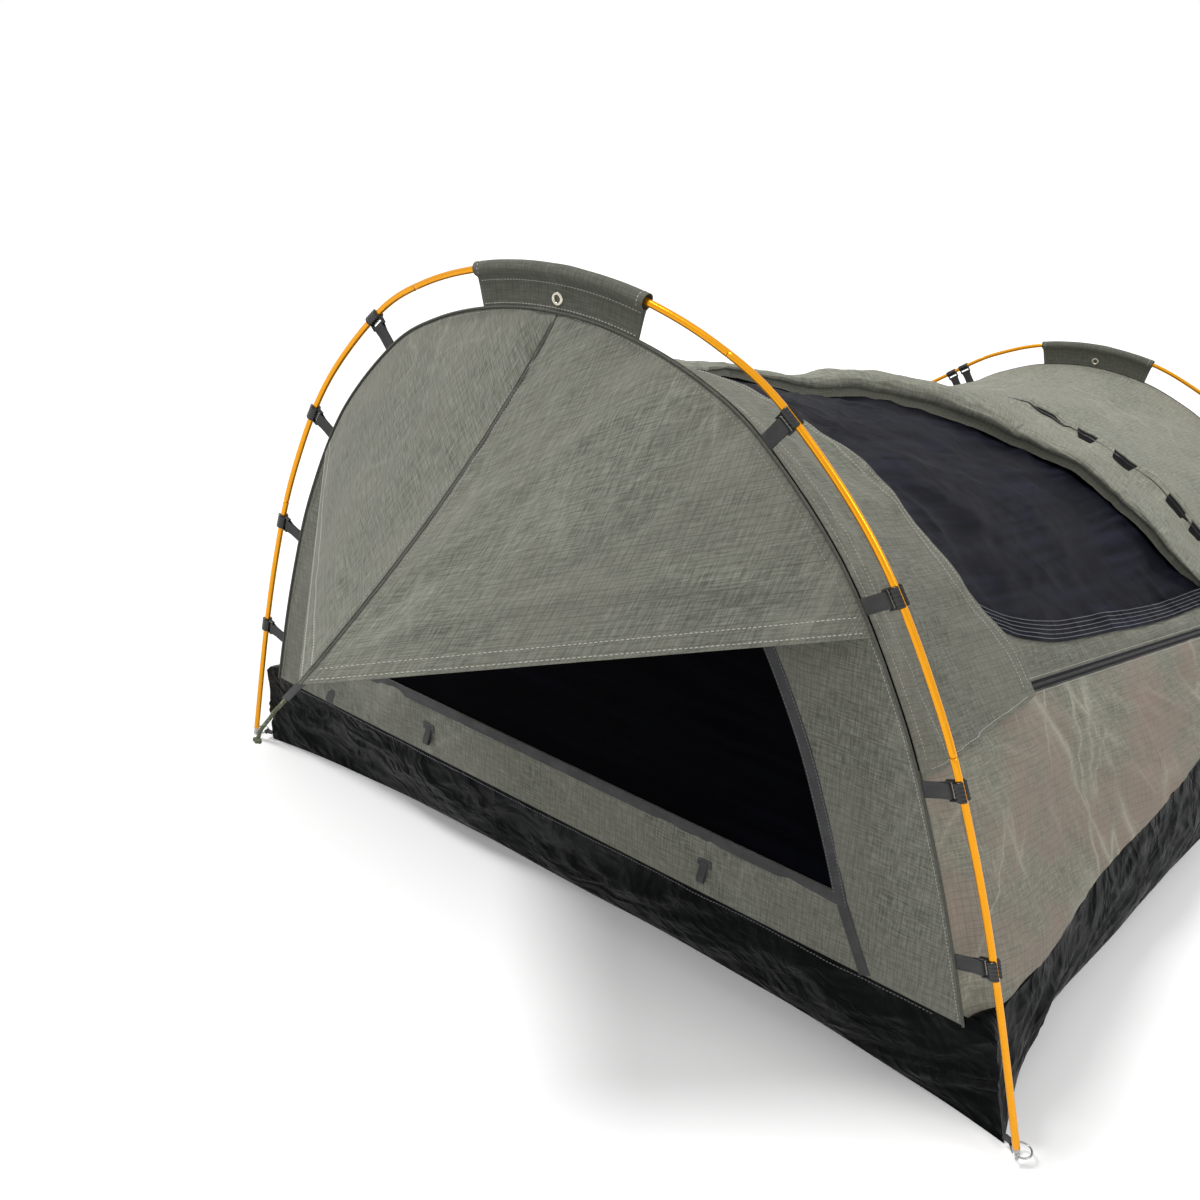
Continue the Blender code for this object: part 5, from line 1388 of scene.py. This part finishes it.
def build_window_tape():
    """Webbing round the window, its two ends running down to the tub."""
    front = -HALF_LENGTH - 0.0013
    outer = arch_outline(HEAD_LINE, WINDOW_INSET - TAPE_WIDTH, WINDOW_SILL_Z - TAPE_WIDTH)
    inner = arch_outline(HEAD_LINE, WINDOW_INSET - 0.0002, WINDOW_SILL_Z - 0.0002)
    parts = [wall_ring(outer, inner, front, 7, tape_wrinkle, 0.0010, "webbing")]
    for share in (0.12, 0.88):
        row = in_plane(outer + share * (inner - outer), front - 0.0009)
        parts.append(stitches(row[:ARCH_COUNT], -ALONG, "dark_thread"))
    corner_x = abs(float(outer[0, 0]))
    for sign in (-1.0, 1.0):
        start = np.array([sign * (corner_x - 0.008), front - 0.0003, WINDOW_SILL_Z - TAPE_WIDTH + 0.002])
        end = np.array([sign * (corner_x + 0.034), front - 0.0003, TUB_SEAM_Z + 0.002])
        parts.append(strap_part(np.linspace(start, end, 12), -ALONG, 0.0165, 0.0010, "webbing"))
    with_head(piece("window_tape", parts, None))


def build_sill_loop(name, x):
    """A loop of webbing bar-tacked below the window's sill."""
    y = -HALF_LENGTH - 0.0014
    pad = [(x, y, SILL_LOOP_Z + 0.006 + k * 0.0025) for k in range(6)]
    route = [(x, y - out, SILL_LOOP_Z + rise) for out, rise in SILL_LOOP_ROUTE]
    path = even(smooth_path(route, 8), 40)
    ups = np.cross(unit(np.gradient(path, axis=0)), ACROSS)
    parts = [strap_part(path, ups, 0.012, 0.0014, "webbing"), strap_part(pad, -ALONG, 0.026, 0.0014, "webbing")]
    for k in range(5):
        z = SILL_LOOP_Z + 0.0075 + 0.0026 * k
        row = in_plane(np.stack([np.linspace(x - 0.011, x + 0.011, 12), np.full(12, z)], -1), y - 0.0012)
        parts.append(stitches(row, -ALONG, "dark_thread", 0.0024, 0.0016, 0.0007))
    with_head(piece(name, parts, None))


def ridge_points(share):
    start = np.array([0.0, -HALF_LENGTH - 0.0014, HEAD_TOP_Z - CANVAS_GAP - 0.002])
    end = np.array([0.0, -HALF_LENGTH - AWNING_REACH, AWNING_PEAK_Z])
    share = np.asarray(share)[..., None]
    return start + share * (end - start) - AWNING_SAG * np.sin(math.pi * share**0.85) * UP


def build_awning():
    seam = inset(HEAD_LINE, CANVAS_GAP + 0.002)
    half = seam[len(seam) // 2 :]
    corner = float(np.interp(-AWNING_CORNER_Z, -half[:, 1], lengths_along(half)))
    s = np.linspace(0.006, 1.0, AWNING_ROWS)[:, None]
    u = np.linspace(0.0, 1.0, AWNING_COLUMNS)[None, :]
    on_ridge = ridge_points(s)
    smooth = on_ridge + u[..., None] * (in_plane(at_length(half, s * corner), -HALF_LENGTH - 0.0014) - on_ridge)
    belly = AWNING_BELLY * np.sin(math.pi * u) * np.sin(math.pi * s)
    smooth = smooth + belly[..., None] * unit((0.5, -0.6, 0.6))
    smooth[..., 0] += 0.0002 * (1 - u)
    normals = unit(np.cross(np.gradient(smooth, axis=1), np.gradient(smooth, axis=0)))
    normals[:, 0, 0] = 0.0
    normals[:, -1, 1] = 0.0
    normals = unit(normals)
    if normals[AWNING_ROWS // 2, AWNING_COLUMNS // 2, 2] < 0:
        normals = -normals
    width = np.linalg.norm(smooth[:, -1] - smooth[:, 0], axis=-1)[:, None]
    x, a = u * width, s * AWNING_LENGTH
    inside = smooth_step(u / 0.10) * smooth_step((1 - u) / 0.08)
    inside = inside * smooth_step((1.0 - s) / 0.10) * smooth_step(s / 0.12)
    near_ridge = np.exp(-u * width / 0.035) * smooth_step(u / 0.03)
    hem = 0.0009 * smooth_step((s - 0.955) / 0.004)
    # A long soft fold from the peak along the hem
    fold = (1.0 - s) * AWNING_LENGTH - 0.055 - 0.035 * np.sin(math.pi * u)
    fold = 0.0030 * np.exp(-(fold / 0.016) ** 2) * smooth_step(u / 0.15) * smooth_step((1 - u) / 0.15)
    for name, sign, seed, crumple in (("awning_left", -1.0, 131, 0.0095), ("awning_right", 1.0, 141, 0.0075)):
        crumpled = crumple * creases(4.2 * x + 2.0 * a, 5.2 * a, seed, 3, 0.6)
        rise = inside * (crumpled + 0.004 * soft_noise(3 * x, 3 * a, seed + 3))
        rise = rise + 0.0028 * near_ridge * creases(6 * x, 30 * a, seed + 5, 2) * smooth_step((1 - s) / 0.05)
        grid = smooth + (rise + fold)[..., None] * normals
        grid[..., 0] = np.maximum(grid[..., 0], 0.0002)
        high = 0.0005 + hem
        flip = np.array([sign, 1.0, 1.0])
        ups = normals * flip
        uv = np.stack(np.broadcast_arrays(sign * x, a), -1)
        # The awning takes the canvas copy darkened with painted shade
        parts = [sheet_part(grid * flip, ups, -high, high, uv, "awning_canvas")]
        over = (grid + (high + 0.0001)[..., None] * normals) * flip
        for row in (-2, -5):
            parts.append(stitches(over[row, 1:-1], ups[row, 1:-1], "thread", 0.0060, 0.0042, 0.0014, 0.0011))
        for first, row, length in ((8, 2, 0.0030), (4, -3, 0.0034)):
            parts.append(stitches(over[first:-1, row], ups[first:-1, row], "seam_thread", 0.0050, length))
        ridge = ridge_points(np.linspace(0.02, 0.999, 90)) * flip + 0.0013 * unit((sign * 0.8, -0.5, 0.6))
        parts.append(tube_part(ridge + sign * 0.0012 * ACROSS, 0.0009, "seam_canvas", 8, ACROSS))
        canvas = piece(name, parts, "head_hoop")
        draws_back(canvas)
        sizes_of(smooth)
        area_of(smooth)

    run = unit((0.0, -2.0, -1.0))
    start = ridge_points(1.0) + 0.0005 * run
    up = np.cross(ACROSS, run)
    places = np.linspace(-0.006, PEAK_TAB_LENGTH, 16)
    path = start + places[:, None] * run + (0.0012 * smooth_step(-places / 0.004))[:, None] * up
    parts = [strap_part(path, up, 0.0118, 0.0022, "webbing")]
    for k in range(4):
        centre = start + (0.004 + 0.0022 * k) * run + 0.0012 * up
        row = centre + np.linspace(-0.0045, 0.0045, 8)[:, None] * ACROSS
        parts.append(stitches(row, up, "dark_thread", 0.0022, 0.0015, 0.0007))
    draws_back(piece("awning_webbing", parts, "head_hoop"))
    build_tie_cord(start + (PEAK_TAB_LENGTH + 0.0005) * run)


def build_tie_cord(start):
    """The free end of cord at the awning's peak, and the trefoil knot at its tip."""
    path = even(start + smooth_path(TIE_ROUTE, 10), 40)
    tube = tube_part(path, CORD_RADIUS, "cord", 14, ACROSS)
    cord = piece("awning_cord", [tube], "head_hoop")
    angle = np.linspace(0, 2 * math.pi, 96, endpoint=False)[:, None]
    turn = unit(path[-1] - path[-4])
    loop = (
        (np.sin(angle) + 2 * np.sin(2 * angle)) * ACROSS
        + (np.cos(angle) - 2 * np.cos(2 * angle)) * np.cross(turn, ACROSS)
        + (-np.sin(3 * angle)) * 1.1 * turn
    )
    loop = path[-1] + 0.0015 * turn + KNOT_SIZE * loop
    along = unit(np.roll(loop, -1, axis=0) - np.roll(loop, 1, axis=0))
    side = unit(np.cross(along, np.broadcast_to(turn, along.shape)))
    rings = rings_round(loop, KNOT_RADIUS, side, np.cross(along, side), 10)
    knot = piece("awning_cord_knot", [loft_part(rings, "cord", closed=True)], "head_hoop", replaced=())
    draws_back(cord)
    draws_back(knot)
    round(float(lengths_along(path)[-1]), 4)


# Hoops: poles, pins, clips, sleeves, eyelets


def inward_side(run):
    side = np.cross(ALONG, run)
    return np.where(side[..., 2:3] < 0.0, side, -side)


def clip_places(line, rises):
    along, middle = lengths_along(line), len(line) // 2
    heights = [PIVOT_Z + rise * (line[middle, 1] - PIVOT_Z) for rise in rises]
    left = [float(np.interp(z, line[: middle + 1, 1], along[: middle + 1])) for z in heights]
    return left + [along[-1] - where for where in left]


def build_poles(end, line, sections, y, body):
    total = lengths_along(line)[-1]
    for k in range(sections):
        low = total * k / sections + (0.012 if k == 0 else 0.0002)
        high = total * (k + 1) / sections - (0.012 if k == sections - 1 else 0.0002)
        middle = np.arange(low + 0.006, high - 0.004, 0.008)
        where = np.concatenate([[low, low + 0.0006], middle, [high - 0.0006, high]])
        radii = np.full(len(where), POLE_RADIUS)
        radii[[0, -1]] = POLE_RADIUS - 0.0006
        tube = tube_part(in_plane(at_length(line, where), y), radii, "pole_alloy", 24, ALONG)
        name = f"{end}_pole_{k + 1}"
        piece(name, [tube], body)


def build_foot_fittings(end, line, y, body):
    """The stepped pin in each pole foot, with its eye on the wire ring, and the ring."""
    for side, hand, foot, nearby in (("left", -1.0, line[0], line[12]), ("right", 1.0, line[-1], line[-13])):
        spot, onward = in_plane(np.array([foot, nearby]), y)
        run = unit(onward - spot)
        path = np.array([spot + where * run for where, _ in PIN_STEPS])
        parts = [tube_part(path, [radius for _, radius in PIN_STEPS], "steel", 20, ALONG)]
        parts.append(turned_part(spot, ALONG, UP, ACROSS, wire_section(0.0039, 0.00125, 0.0016, 10), 40, "steel"))
        name = f"{end}_pin_{side}"
        piece(name, parts, body)
        centre = np.array([HOOP_HALF_SPAN * hand, math.copysign(HALF_LENGTH - RING_RADIUS, y), PIVOT_Z])
        wire = wire_section(RING_RADIUS, RING_WIRE, RING_WIRE, 12)
        name = f"corner_ring_{end}_{side}"
        piece(name, [turned_part(centre, ACROSS, ALONG, UP, wire, 56, "steel")], "base")


def build_clips(end, line, rises, y, body):
    names = [f"{side}_{k + 1}" for side in ("left", "right") for k in range(len(rises))]
    for name, where in zip(names, clip_places(line, rises)):
        low, spot, high = in_plane(at_length(line, np.array([where - 0.012, where, where + 0.012])), y)
        run = unit(high - low)
        inward = inward_side(run)
        inner, outer = POLE_RADIUS + 0.0003, POLE_RADIUS + 0.0030
        mouth = math.radians(180.0 - CLIP_MOUTH)
        angles = np.linspace(-mouth, mouth, 25)
        rings = []
        for length in np.linspace(-CLIP_HALF, CLIP_HALF, 40):
            rib = 0.0006 * (0.5 + 0.5 * math.cos(2 * math.pi * length / 0.0052)) ** 0.6
            edge = 0.0010 * max(0.0, (abs(length) - 0.0118) / 0.0012)
            middle = spot + length * run
            around = [math.cos(a) * inward + math.sin(a) * ALONG for a in angles]
            ring = [middle + (outer + rib - edge) * out for out in around]
            rings.append(ring + [middle + inner * out for out in around[::-1]])
        parts = [loft_part(rings, "clip_plastic")]
        # The bar that holds the webbing, and two cheeks from the clip to it
        bar = spot + 0.0150 * inward
        places = np.linspace(-0.0125, 0.0125, 12)
        parts.append(tube_part(bar + places[:, None] * run, 0.0021, "clip_plastic", 12, ALONG))
        for side in (-1.0, 1.0):
            cheek = spot + side * 0.0122 * run + np.linspace(0.0055, 0.0162, 8)[:, None] * inward
            parts.append(strap_part(cheek, run, 0.0062, 0.0022, "clip_plastic"))
        # Webbing round the bar and down to the seam, its broad faces toward the ends of the tent
        turn = np.linspace(-0.5 * math.pi, 0.5 * math.pi, 9)
        around = [bar - 0.0030 * math.cos(a) * inward + 0.0030 * math.sin(a) * ALONG for a in turn]
        down = np.linspace(0.002, CLIP_WEBBING, 10)
        back, front = (
            [bar + k * inward + side * (0.0030 - 0.0020 * min(1, k / 0.012)) * ALONG for k in down]
            for side in (-1, 1)
        )
        path = np.array(back[::-1] + around + front)
        share = np.linspace(0, 1, len(path))[:, None]
        path += 0.0012 * np.sin(np.linspace(0, 5.5, len(path)))[:, None] * ALONG * share * 0.4
        ups = np.cross(unit(np.gradient(path, axis=0)), run)
        parts.append(strap_part(path, ups, 0.0205, 0.0011, "webbing"))
        full = f"{end}_clip_{name}"
        piece(full, parts, body)


def build_sleeve(end, line, top_z, y, body):
    total = lengths_along(line)[-1]
    where = np.linspace(total / 2 - SLEEVE_HALF, total / 2 + SLEEVE_HALF, SLEEVE_STATIONS)
    flat = at_length(line, where)
    tangent = unit(at_length(line, where + 0.004) - at_length(line, where - 0.004))
    spots = in_plane(flat, y)
    inward = inward_side(in_plane(tangent, 0.0))
    start = math.radians(24.0)
    angles = np.linspace(start, 2 * math.pi - start, 27)
    tail = np.linspace(1.30 * SLEEVE_RADIUS, 0.0478, 13)
    hang = np.sin(math.pi * (tail - tail[0]) / (tail[-1] - tail[0]))
    half = 0.0013
    outside, inside = [], []
    for k, (spot, side) in enumerate(zip(spots, inward)):
        share = k / (len(spots) - 1)
        slack = 1.0 + 0.06 * noise(9.0 * share, 0.4, 151)
        radius = SLEEVE_RADIUS * slack * (1.0 + 0.05 * math.exp(-min(share, 1 - share) / 0.03))
        ripple = 0.0010 * creases(6.0 * share, 2.0, 153, 2) * hang

        def around(reach, turns):
            return [spot + reach * (math.cos(a) * side + math.sin(a) * ALONG) for a in turns]

        low, high = ([spot + a * side + (lean + r) * ALONG for a, r in zip(tail, ripple)] for lean in (-half, half))
        outside.append(around(radius, angles) + low + high[::-1])
        inside.append(around(radius - 0.0011, list(angles) + list(np.linspace(-start * 0.9, start * 0.9, 26))))
    rows = list(range(len(spots)))
    girth = [*np.linspace(-math.pi, math.pi, len(angles)) * 0.0105, *(0.033 + tail), *(0.033 + tail[::-1])]
    uv_rows = [[(where[k], value) for value in girth] for k in rows + rows[::-1]]
    parts = [loft_part(outside + inside[::-1], "sleeve_canvas", closed=True, uv=uv_rows)]
    for depth in (0.0150, 0.0445):
        row = in_plane(flat, 0.0) + depth * inward
        row[:, 1] = y + math.copysign(half + 0.0004, y)
        parts.append(stitches(row[1:-1], ALONG * math.copysign(1.0, y), "thread"))
    for k in (2, SLEEVE_STATIONS - 3):
        ring = np.array(outside[k])[2:25]
        parts.append(stitches(ring, unit(ring - spots[k]), "thread"))
    name = f"{end}_sleeve"
    piece(name, parts, body)

    name = f"{end}_eyelet"
    eyelet = turned_part(np.array([0.0, y, top_z - EYELET_DROP]), ACROSS, UP, ALONG, EYELET_SECTION, 48, "nickel")
    piece(name, [eyelet], body, 60.0)


# Door: rolled flap and zips


def build_door_flap():
    """The thrown-back flap: a puffed roll over the crest and down behind the doorway, its edge behind."""
    stations = ROLL_STATIONS
    path = even(smooth_path(ROLL_PATH), stations)
    share = np.linspace(0, 1, stations)
    smooth = canopy(path[:, 0], path[:, 1])
    steps = np.arange(stations)
    run = unit(smooth[np.minimum(steps + 4, stations - 1)] - smooth[np.maximum(steps - 4, 0)])
    along, across, normal = canopy_frame(path[:, 0], path[:, 1])
    leftward = np.cross(normal, run)
    shares = np.array([
        np.linalg.lstsq(np.column_stack([a, b]), c, rcond=None)[0] for a, b, c in zip(along, across, leftward)
    ])
    size = on_table(ROLL_SIZE, share)
    closing = 0.12 + 0.88 * smooth_step(share / 0.015) * smooth_step((1.0 - share) / 0.012)
    width = ROLL_WIDTH * (0.35 + 0.65 * size) * closing**0.5
    height = ROLL_HEIGHT * size * closing * on_table(ROLL_FLATTEN, share)
    tail = FLAP_TAIL * on_table(TAIL_SIZE, share)
    length = lengths_along(smooth)
    tilt = ZIP_TILT * smooth_step((share - 0.5) / 0.08)
    covered = COVER_WIDTH * smooth_step((share - 0.44) / 0.06)

    def place(k, left, rise):
        t = np.clip(path[k, 0] + left * shares[k, 0], 0.0, 1.0)
        v = np.clip(path[k, 1] + left * shares[k, 1], -1.0, 1.0)
        return canopy(t, v) + (0.0022 + rise + canopy_wrinkles(t, v))[..., None] * canopy_frame(t, v)[2]

    count, under_count = 46, 12
    bend = np.linspace(0, 1, count)
    # From under the near lip, round over the top, to the foot of the far side
    angle = math.pi * (-0.22 + 1.22 * bend)
    out = np.linspace(0.0, 1.0, 22)[1:]
    lap = np.array([0.35, 0.8, 1.0])
    flap, coords, edge_line = [], [], []
    for k in range(stations):
        s = length[k]
        lip = 0.006 * soft_noise(5.0 * s, 0.3, 161) + 0.004 * noise(17.0 * s, 0.0, 163)
        puff = 1.0 + 0.07 * soft_noise(6.0 * s, 1.7, 165)
        half_w, half_h = 0.49 * width[k] + lip * 0.6, height[k] / 2 * puff
        round_x = -half_w * np.sign(np.cos(angle)) * np.abs(np.cos(angle)) ** 0.85
        round_z = half_h * 0.94 + half_h * np.sin(angle) * 1.03
        fold = creases(6.5 * s + 0 * angle, 1.1 * angle + 1.5 * s, 167, 3)
        drag = creases(16.0 * s + 1.2 * angle, 0.8 * angle, 169, 2)
        held = np.sin(np.clip(bend, 0.02, 0.98) * math.pi) * (0.3 + 0.7 * size[k])
        swell = (ROLL_FOLD * fold + ROLL_DRAG * drag) * held
        round_x = round_x * (1 + swell / max(half_w, 0.01))
        round_z = np.maximum(round_z + swell, 0.0012)
        tail_x = half_w + tail[k] * out
        wave = 0.0045 * np.abs(soft_noise(11.0 * s + 0 * out, 3.0 * out, 171)) * smooth_step(tail[k] / 0.05)
        wave = 0.0030 + wave
        tail_z = wave + (round_z[-1] + 0.006 * (tail[k] > 0.02) - wave) * np.exp(-out * tail[k] / 0.015)
        # The canvas laps over the zip, except where its tape shows
        exposed = max(smooth_step((s - a) / 0.007) * smooth_step((b - s) / 0.007) for a, b in TAPE_SHOWS)
        cover = covered[k] * (1.0 - exposed)
        lap_x = half_w + tail[k] + lap * cover + np.array([0.0004, 0.0006, 0.0008])
        ruffle = 0.0006 * noise(np.array([20.0 * s] * 3), np.array([1.0, 2.0, 3.0]), 173)
        lap_z = np.array([0.0046, 0.0052, 0.0048]) + tilt[k] * lap * cover + ruffle
        under_x = np.concatenate([lap_x[::-1], tail_x[::-1], np.linspace(half_w, round_x[0], under_count)])
        under_z = np.concatenate([
            np.maximum(lap_z[::-1] - 0.0012, 0.0020), np.linspace(0.0018, 0.0004, len(tail_x)),
            np.full(under_count, 0.0004),
        ])
        over_mesh = smooth_step((path[k, 1] + under_x * shares[k, 1] - RIDGE) / 0.02)
        under_z = under_z - 0.0095 * over_mesh * (under_x < half_w) * closing[k]
        left = np.concatenate([round_x, tail_x, lap_x, under_x])
        rise = np.concatenate([round_z, tail_z, lap_z, under_z])
        ring = place(k, left, rise)
        flap.append(ring)
        girth = np.concatenate([[0.0], np.hypot(np.diff(left), np.diff(rise)).cumsum()])
        coords.append(np.stack([np.full(len(left), s), girth], -1))
        edge_line.append(ring[count + 18])
    parts = [loft_part(np.array(flap), "canvas", uv=np.array(coords))]
    hemmed = slice(int(0.52 * stations), -2)
    parts.append(stitches(np.array(edge_line)[hemmed], normal[hemmed], "thread"))

    # The zip's tape along the flap's edge, and the stitched guard beyond it
    first = int(0.505 * stations)
    tape, guard = [], []
    for k in range(first, stations):
        near = 0.49 * width[k] + tail[k] + 0.0004
        tape_z = TAPE_SECTION[1] + 0.3 * 0.0006 * noise(20.0 * length[k], 0.0, 175) + tilt[k] * TAPE_SECTION[0]
        tape.append(place(k, near + TAPE_SECTION[0], tape_z))
        swell = 0.0030 * abs(soft_noise(9.0 * length[k], 0.6, 177))
        guard_z = GUARD_SECTION[1] + tilt[k] * GUARD_SECTION[2] + swell * GUARD_SECTION[3]
        guard.append(place(k, near + GUARD_SECTION[0], guard_z))
    guard, tape = np.array(guard), np.array(tape)
    coords = np.stack(np.broadcast_arrays(np.linspace(0.0, 0.04, 8)[None, :], length[first:, None]), -1)
    parts.append(loft_part(guard, "canvas", uv=coords))
    for row in (1, 4):
        parts.append(stitches(guard[:, row], normal[first:], "thread"))
    crumples(piece("door_flap", parts, "base", 70.0))

    coords = np.stack(np.broadcast_arrays(TAPE_GIRTH[None, :], length[first:, None]), -1)
    crest = tape[:, 3]
    places = np.arange(0.002, lengths_along(crest)[-1] - 0.002, 0.0021)
    spots = at_length(crest, places)
    runs = unit(at_length(crest, places + 0.001) - at_length(crest, places - 0.001))
    ups = unit(at_length(crest, places, normal[first:]))
    size = (0.0012, 0.0048, 0.0016)
    teeth = box_parts(spots + 0.0002 * ups, runs, np.cross(ups, runs), ups, size, "zip_coil")
    crumples(piece("flap_zip_tape", [loft_part(tape, "zip", uv=coords), teeth], "base"))


def zip_axes():
    """The door zip's directions: along it, across it, and out of the canopy."""
    run = unit(ZIP_FOOT - ZIP_HEAD)
    middle = 0.5 * (ZIP_HEAD_PLACE[0] + ZIP_FOOT_PLACE[0])
    normal = canopy_frame(middle, zip_line(middle))[2]
    normal = unit(normal - np.dot(normal, run) * run)
    return run, np.cross(run, normal), normal


def build_zip():
    run, side, normal = zip_axes()
    length = float(np.linalg.norm(ZIP_FOOT - ZIP_HEAD)) - 0.0008
    places = np.linspace(-length / 2, length / 2, 160)
    centre = (ZIP_HEAD + ZIP_FOOT) / 2
    section = ZIP_SECTION + tuple((-a, b) for a, b in ZIP_SECTION[::-1])
    rings, uv = [], []
    for where in places:
        ripple = 0.0004 * noise(30.0 * where, 0.0, 181)
        middle = centre + where * run
        rings.append([middle + a * side + (b + ripple * (abs(a) > 0.004)) * normal for a, b in section])
        uv.append([(a + 0.0002 * b, where) for a, b in section])
    parts = [loft_part(rings, "zip", uv=uv)]
    where = np.arange(-length / 2 + 0.002, length / 2 - 0.002, 0.0019)[:, None]
    for shift, lean in ((0.0009, 0.28), (-0.0009, -0.28)):
        spots = centre + where * run + shift * side + 0.0017 * normal
        slant = unit(side + lean * run)
        axes = (np.broadcast_to(axis, spots.shape) for axis in (unit(np.cross(slant, normal)), slant, normal))
        parts.append(box_parts(spots, *axes, (0.0011, 0.0034, 0.0013), "zip_coil"))
    for shift in (0.0066, -0.0066):
        row = centre + places[:, None] * run + shift * side + 0.0008 * normal
        parts.append(stitches(row, normal, "dark_thread", 0.0036, 0.0025, 0.0007))
    crumples(piece("door_zip_tape", parts, "base"))


def build_slider():
    """The zip's slider, parked at the foot end, its pull lying back along the coil."""
    run, side, normal = zip_axes()
    rest = ZIP_FOOT - 0.030 * run
    section = SLIDER_SECTION + tuple((-a, b) for a, b in SLIDER_SECTION[::-1])
    rings = []
    for where in np.linspace(-0.0080, 0.0080, 25):
        drawn = 1.0 - 0.16 * (where / 0.0080) ** 6 - 0.10 * (0.5 - where / 0.016)
        middle = rest + where * run
        # The throat keeps its width, clear of the coil, as the body narrows
        widths = [math.copysign(max(abs(a) * drawn, 0.0029 if abs(a) < 0.0030 else 0.0), a) for a, _ in section]
        rings.append([middle + a * side + b * normal for a, (_, b) in zip(widths, section)])
    parts = [loft_part(rings, "steel")]
    bend = np.linspace(0.0, math.pi, 17)[:, None]
    bridge = rest + 0.0044 * normal - 0.0045 * np.cos(bend) * run + 0.0030 * np.sin(bend) * normal
    parts.append(tube_part(bridge, 0.0009, "steel", 12, side))
    lean = unit(0.05 * normal - run)
    start = rest + 0.0058 * normal - 0.0032 * run
    places = np.linspace(0.0, 0.0300, 30)[:, None]
    parts.append(strap_part(start + places * lean, np.cross(side, lean), 0.0070, 0.0016, "steel"))
    crumples(piece("door_zip_slider", parts, "zip_slider"))


def dress_corner_loops():
    """The corner loops stay as the CAD's own solids."""
    for corner in ("head_left", "head_right", "foot_left", "foot_right"):
        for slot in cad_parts[f"corner_loop_{corner}"].material_slots:
            slot.material = material("webbing_plain")


def main():
    set_camera()
    set_stage()
    build_awning()
    build_canopy()
    build_tub()
    build_mattress()
    build_end_walls()
    for end, line, sections, rises, top_z, y, body in (
        ("head", HEAD_LINE, 5, HEAD_CLIPS, HEAD_TOP_Z, -HALF_LENGTH, "head_hoop"),
        ("foot", FOOT_LINE, 3, FOOT_CLIPS, FOOT_TOP_Z, HALF_LENGTH, "foot_hoop"),
    ):
        build_poles(end, line, sections, y, body)
        build_foot_fittings(end, line, y, body)
        build_clips(end, line, rises, y, body)
        build_sleeve(end, line, top_z, y, body)
    build_door_flap()
    build_zip()
    build_slider()
    dress_corner_loops()


main()
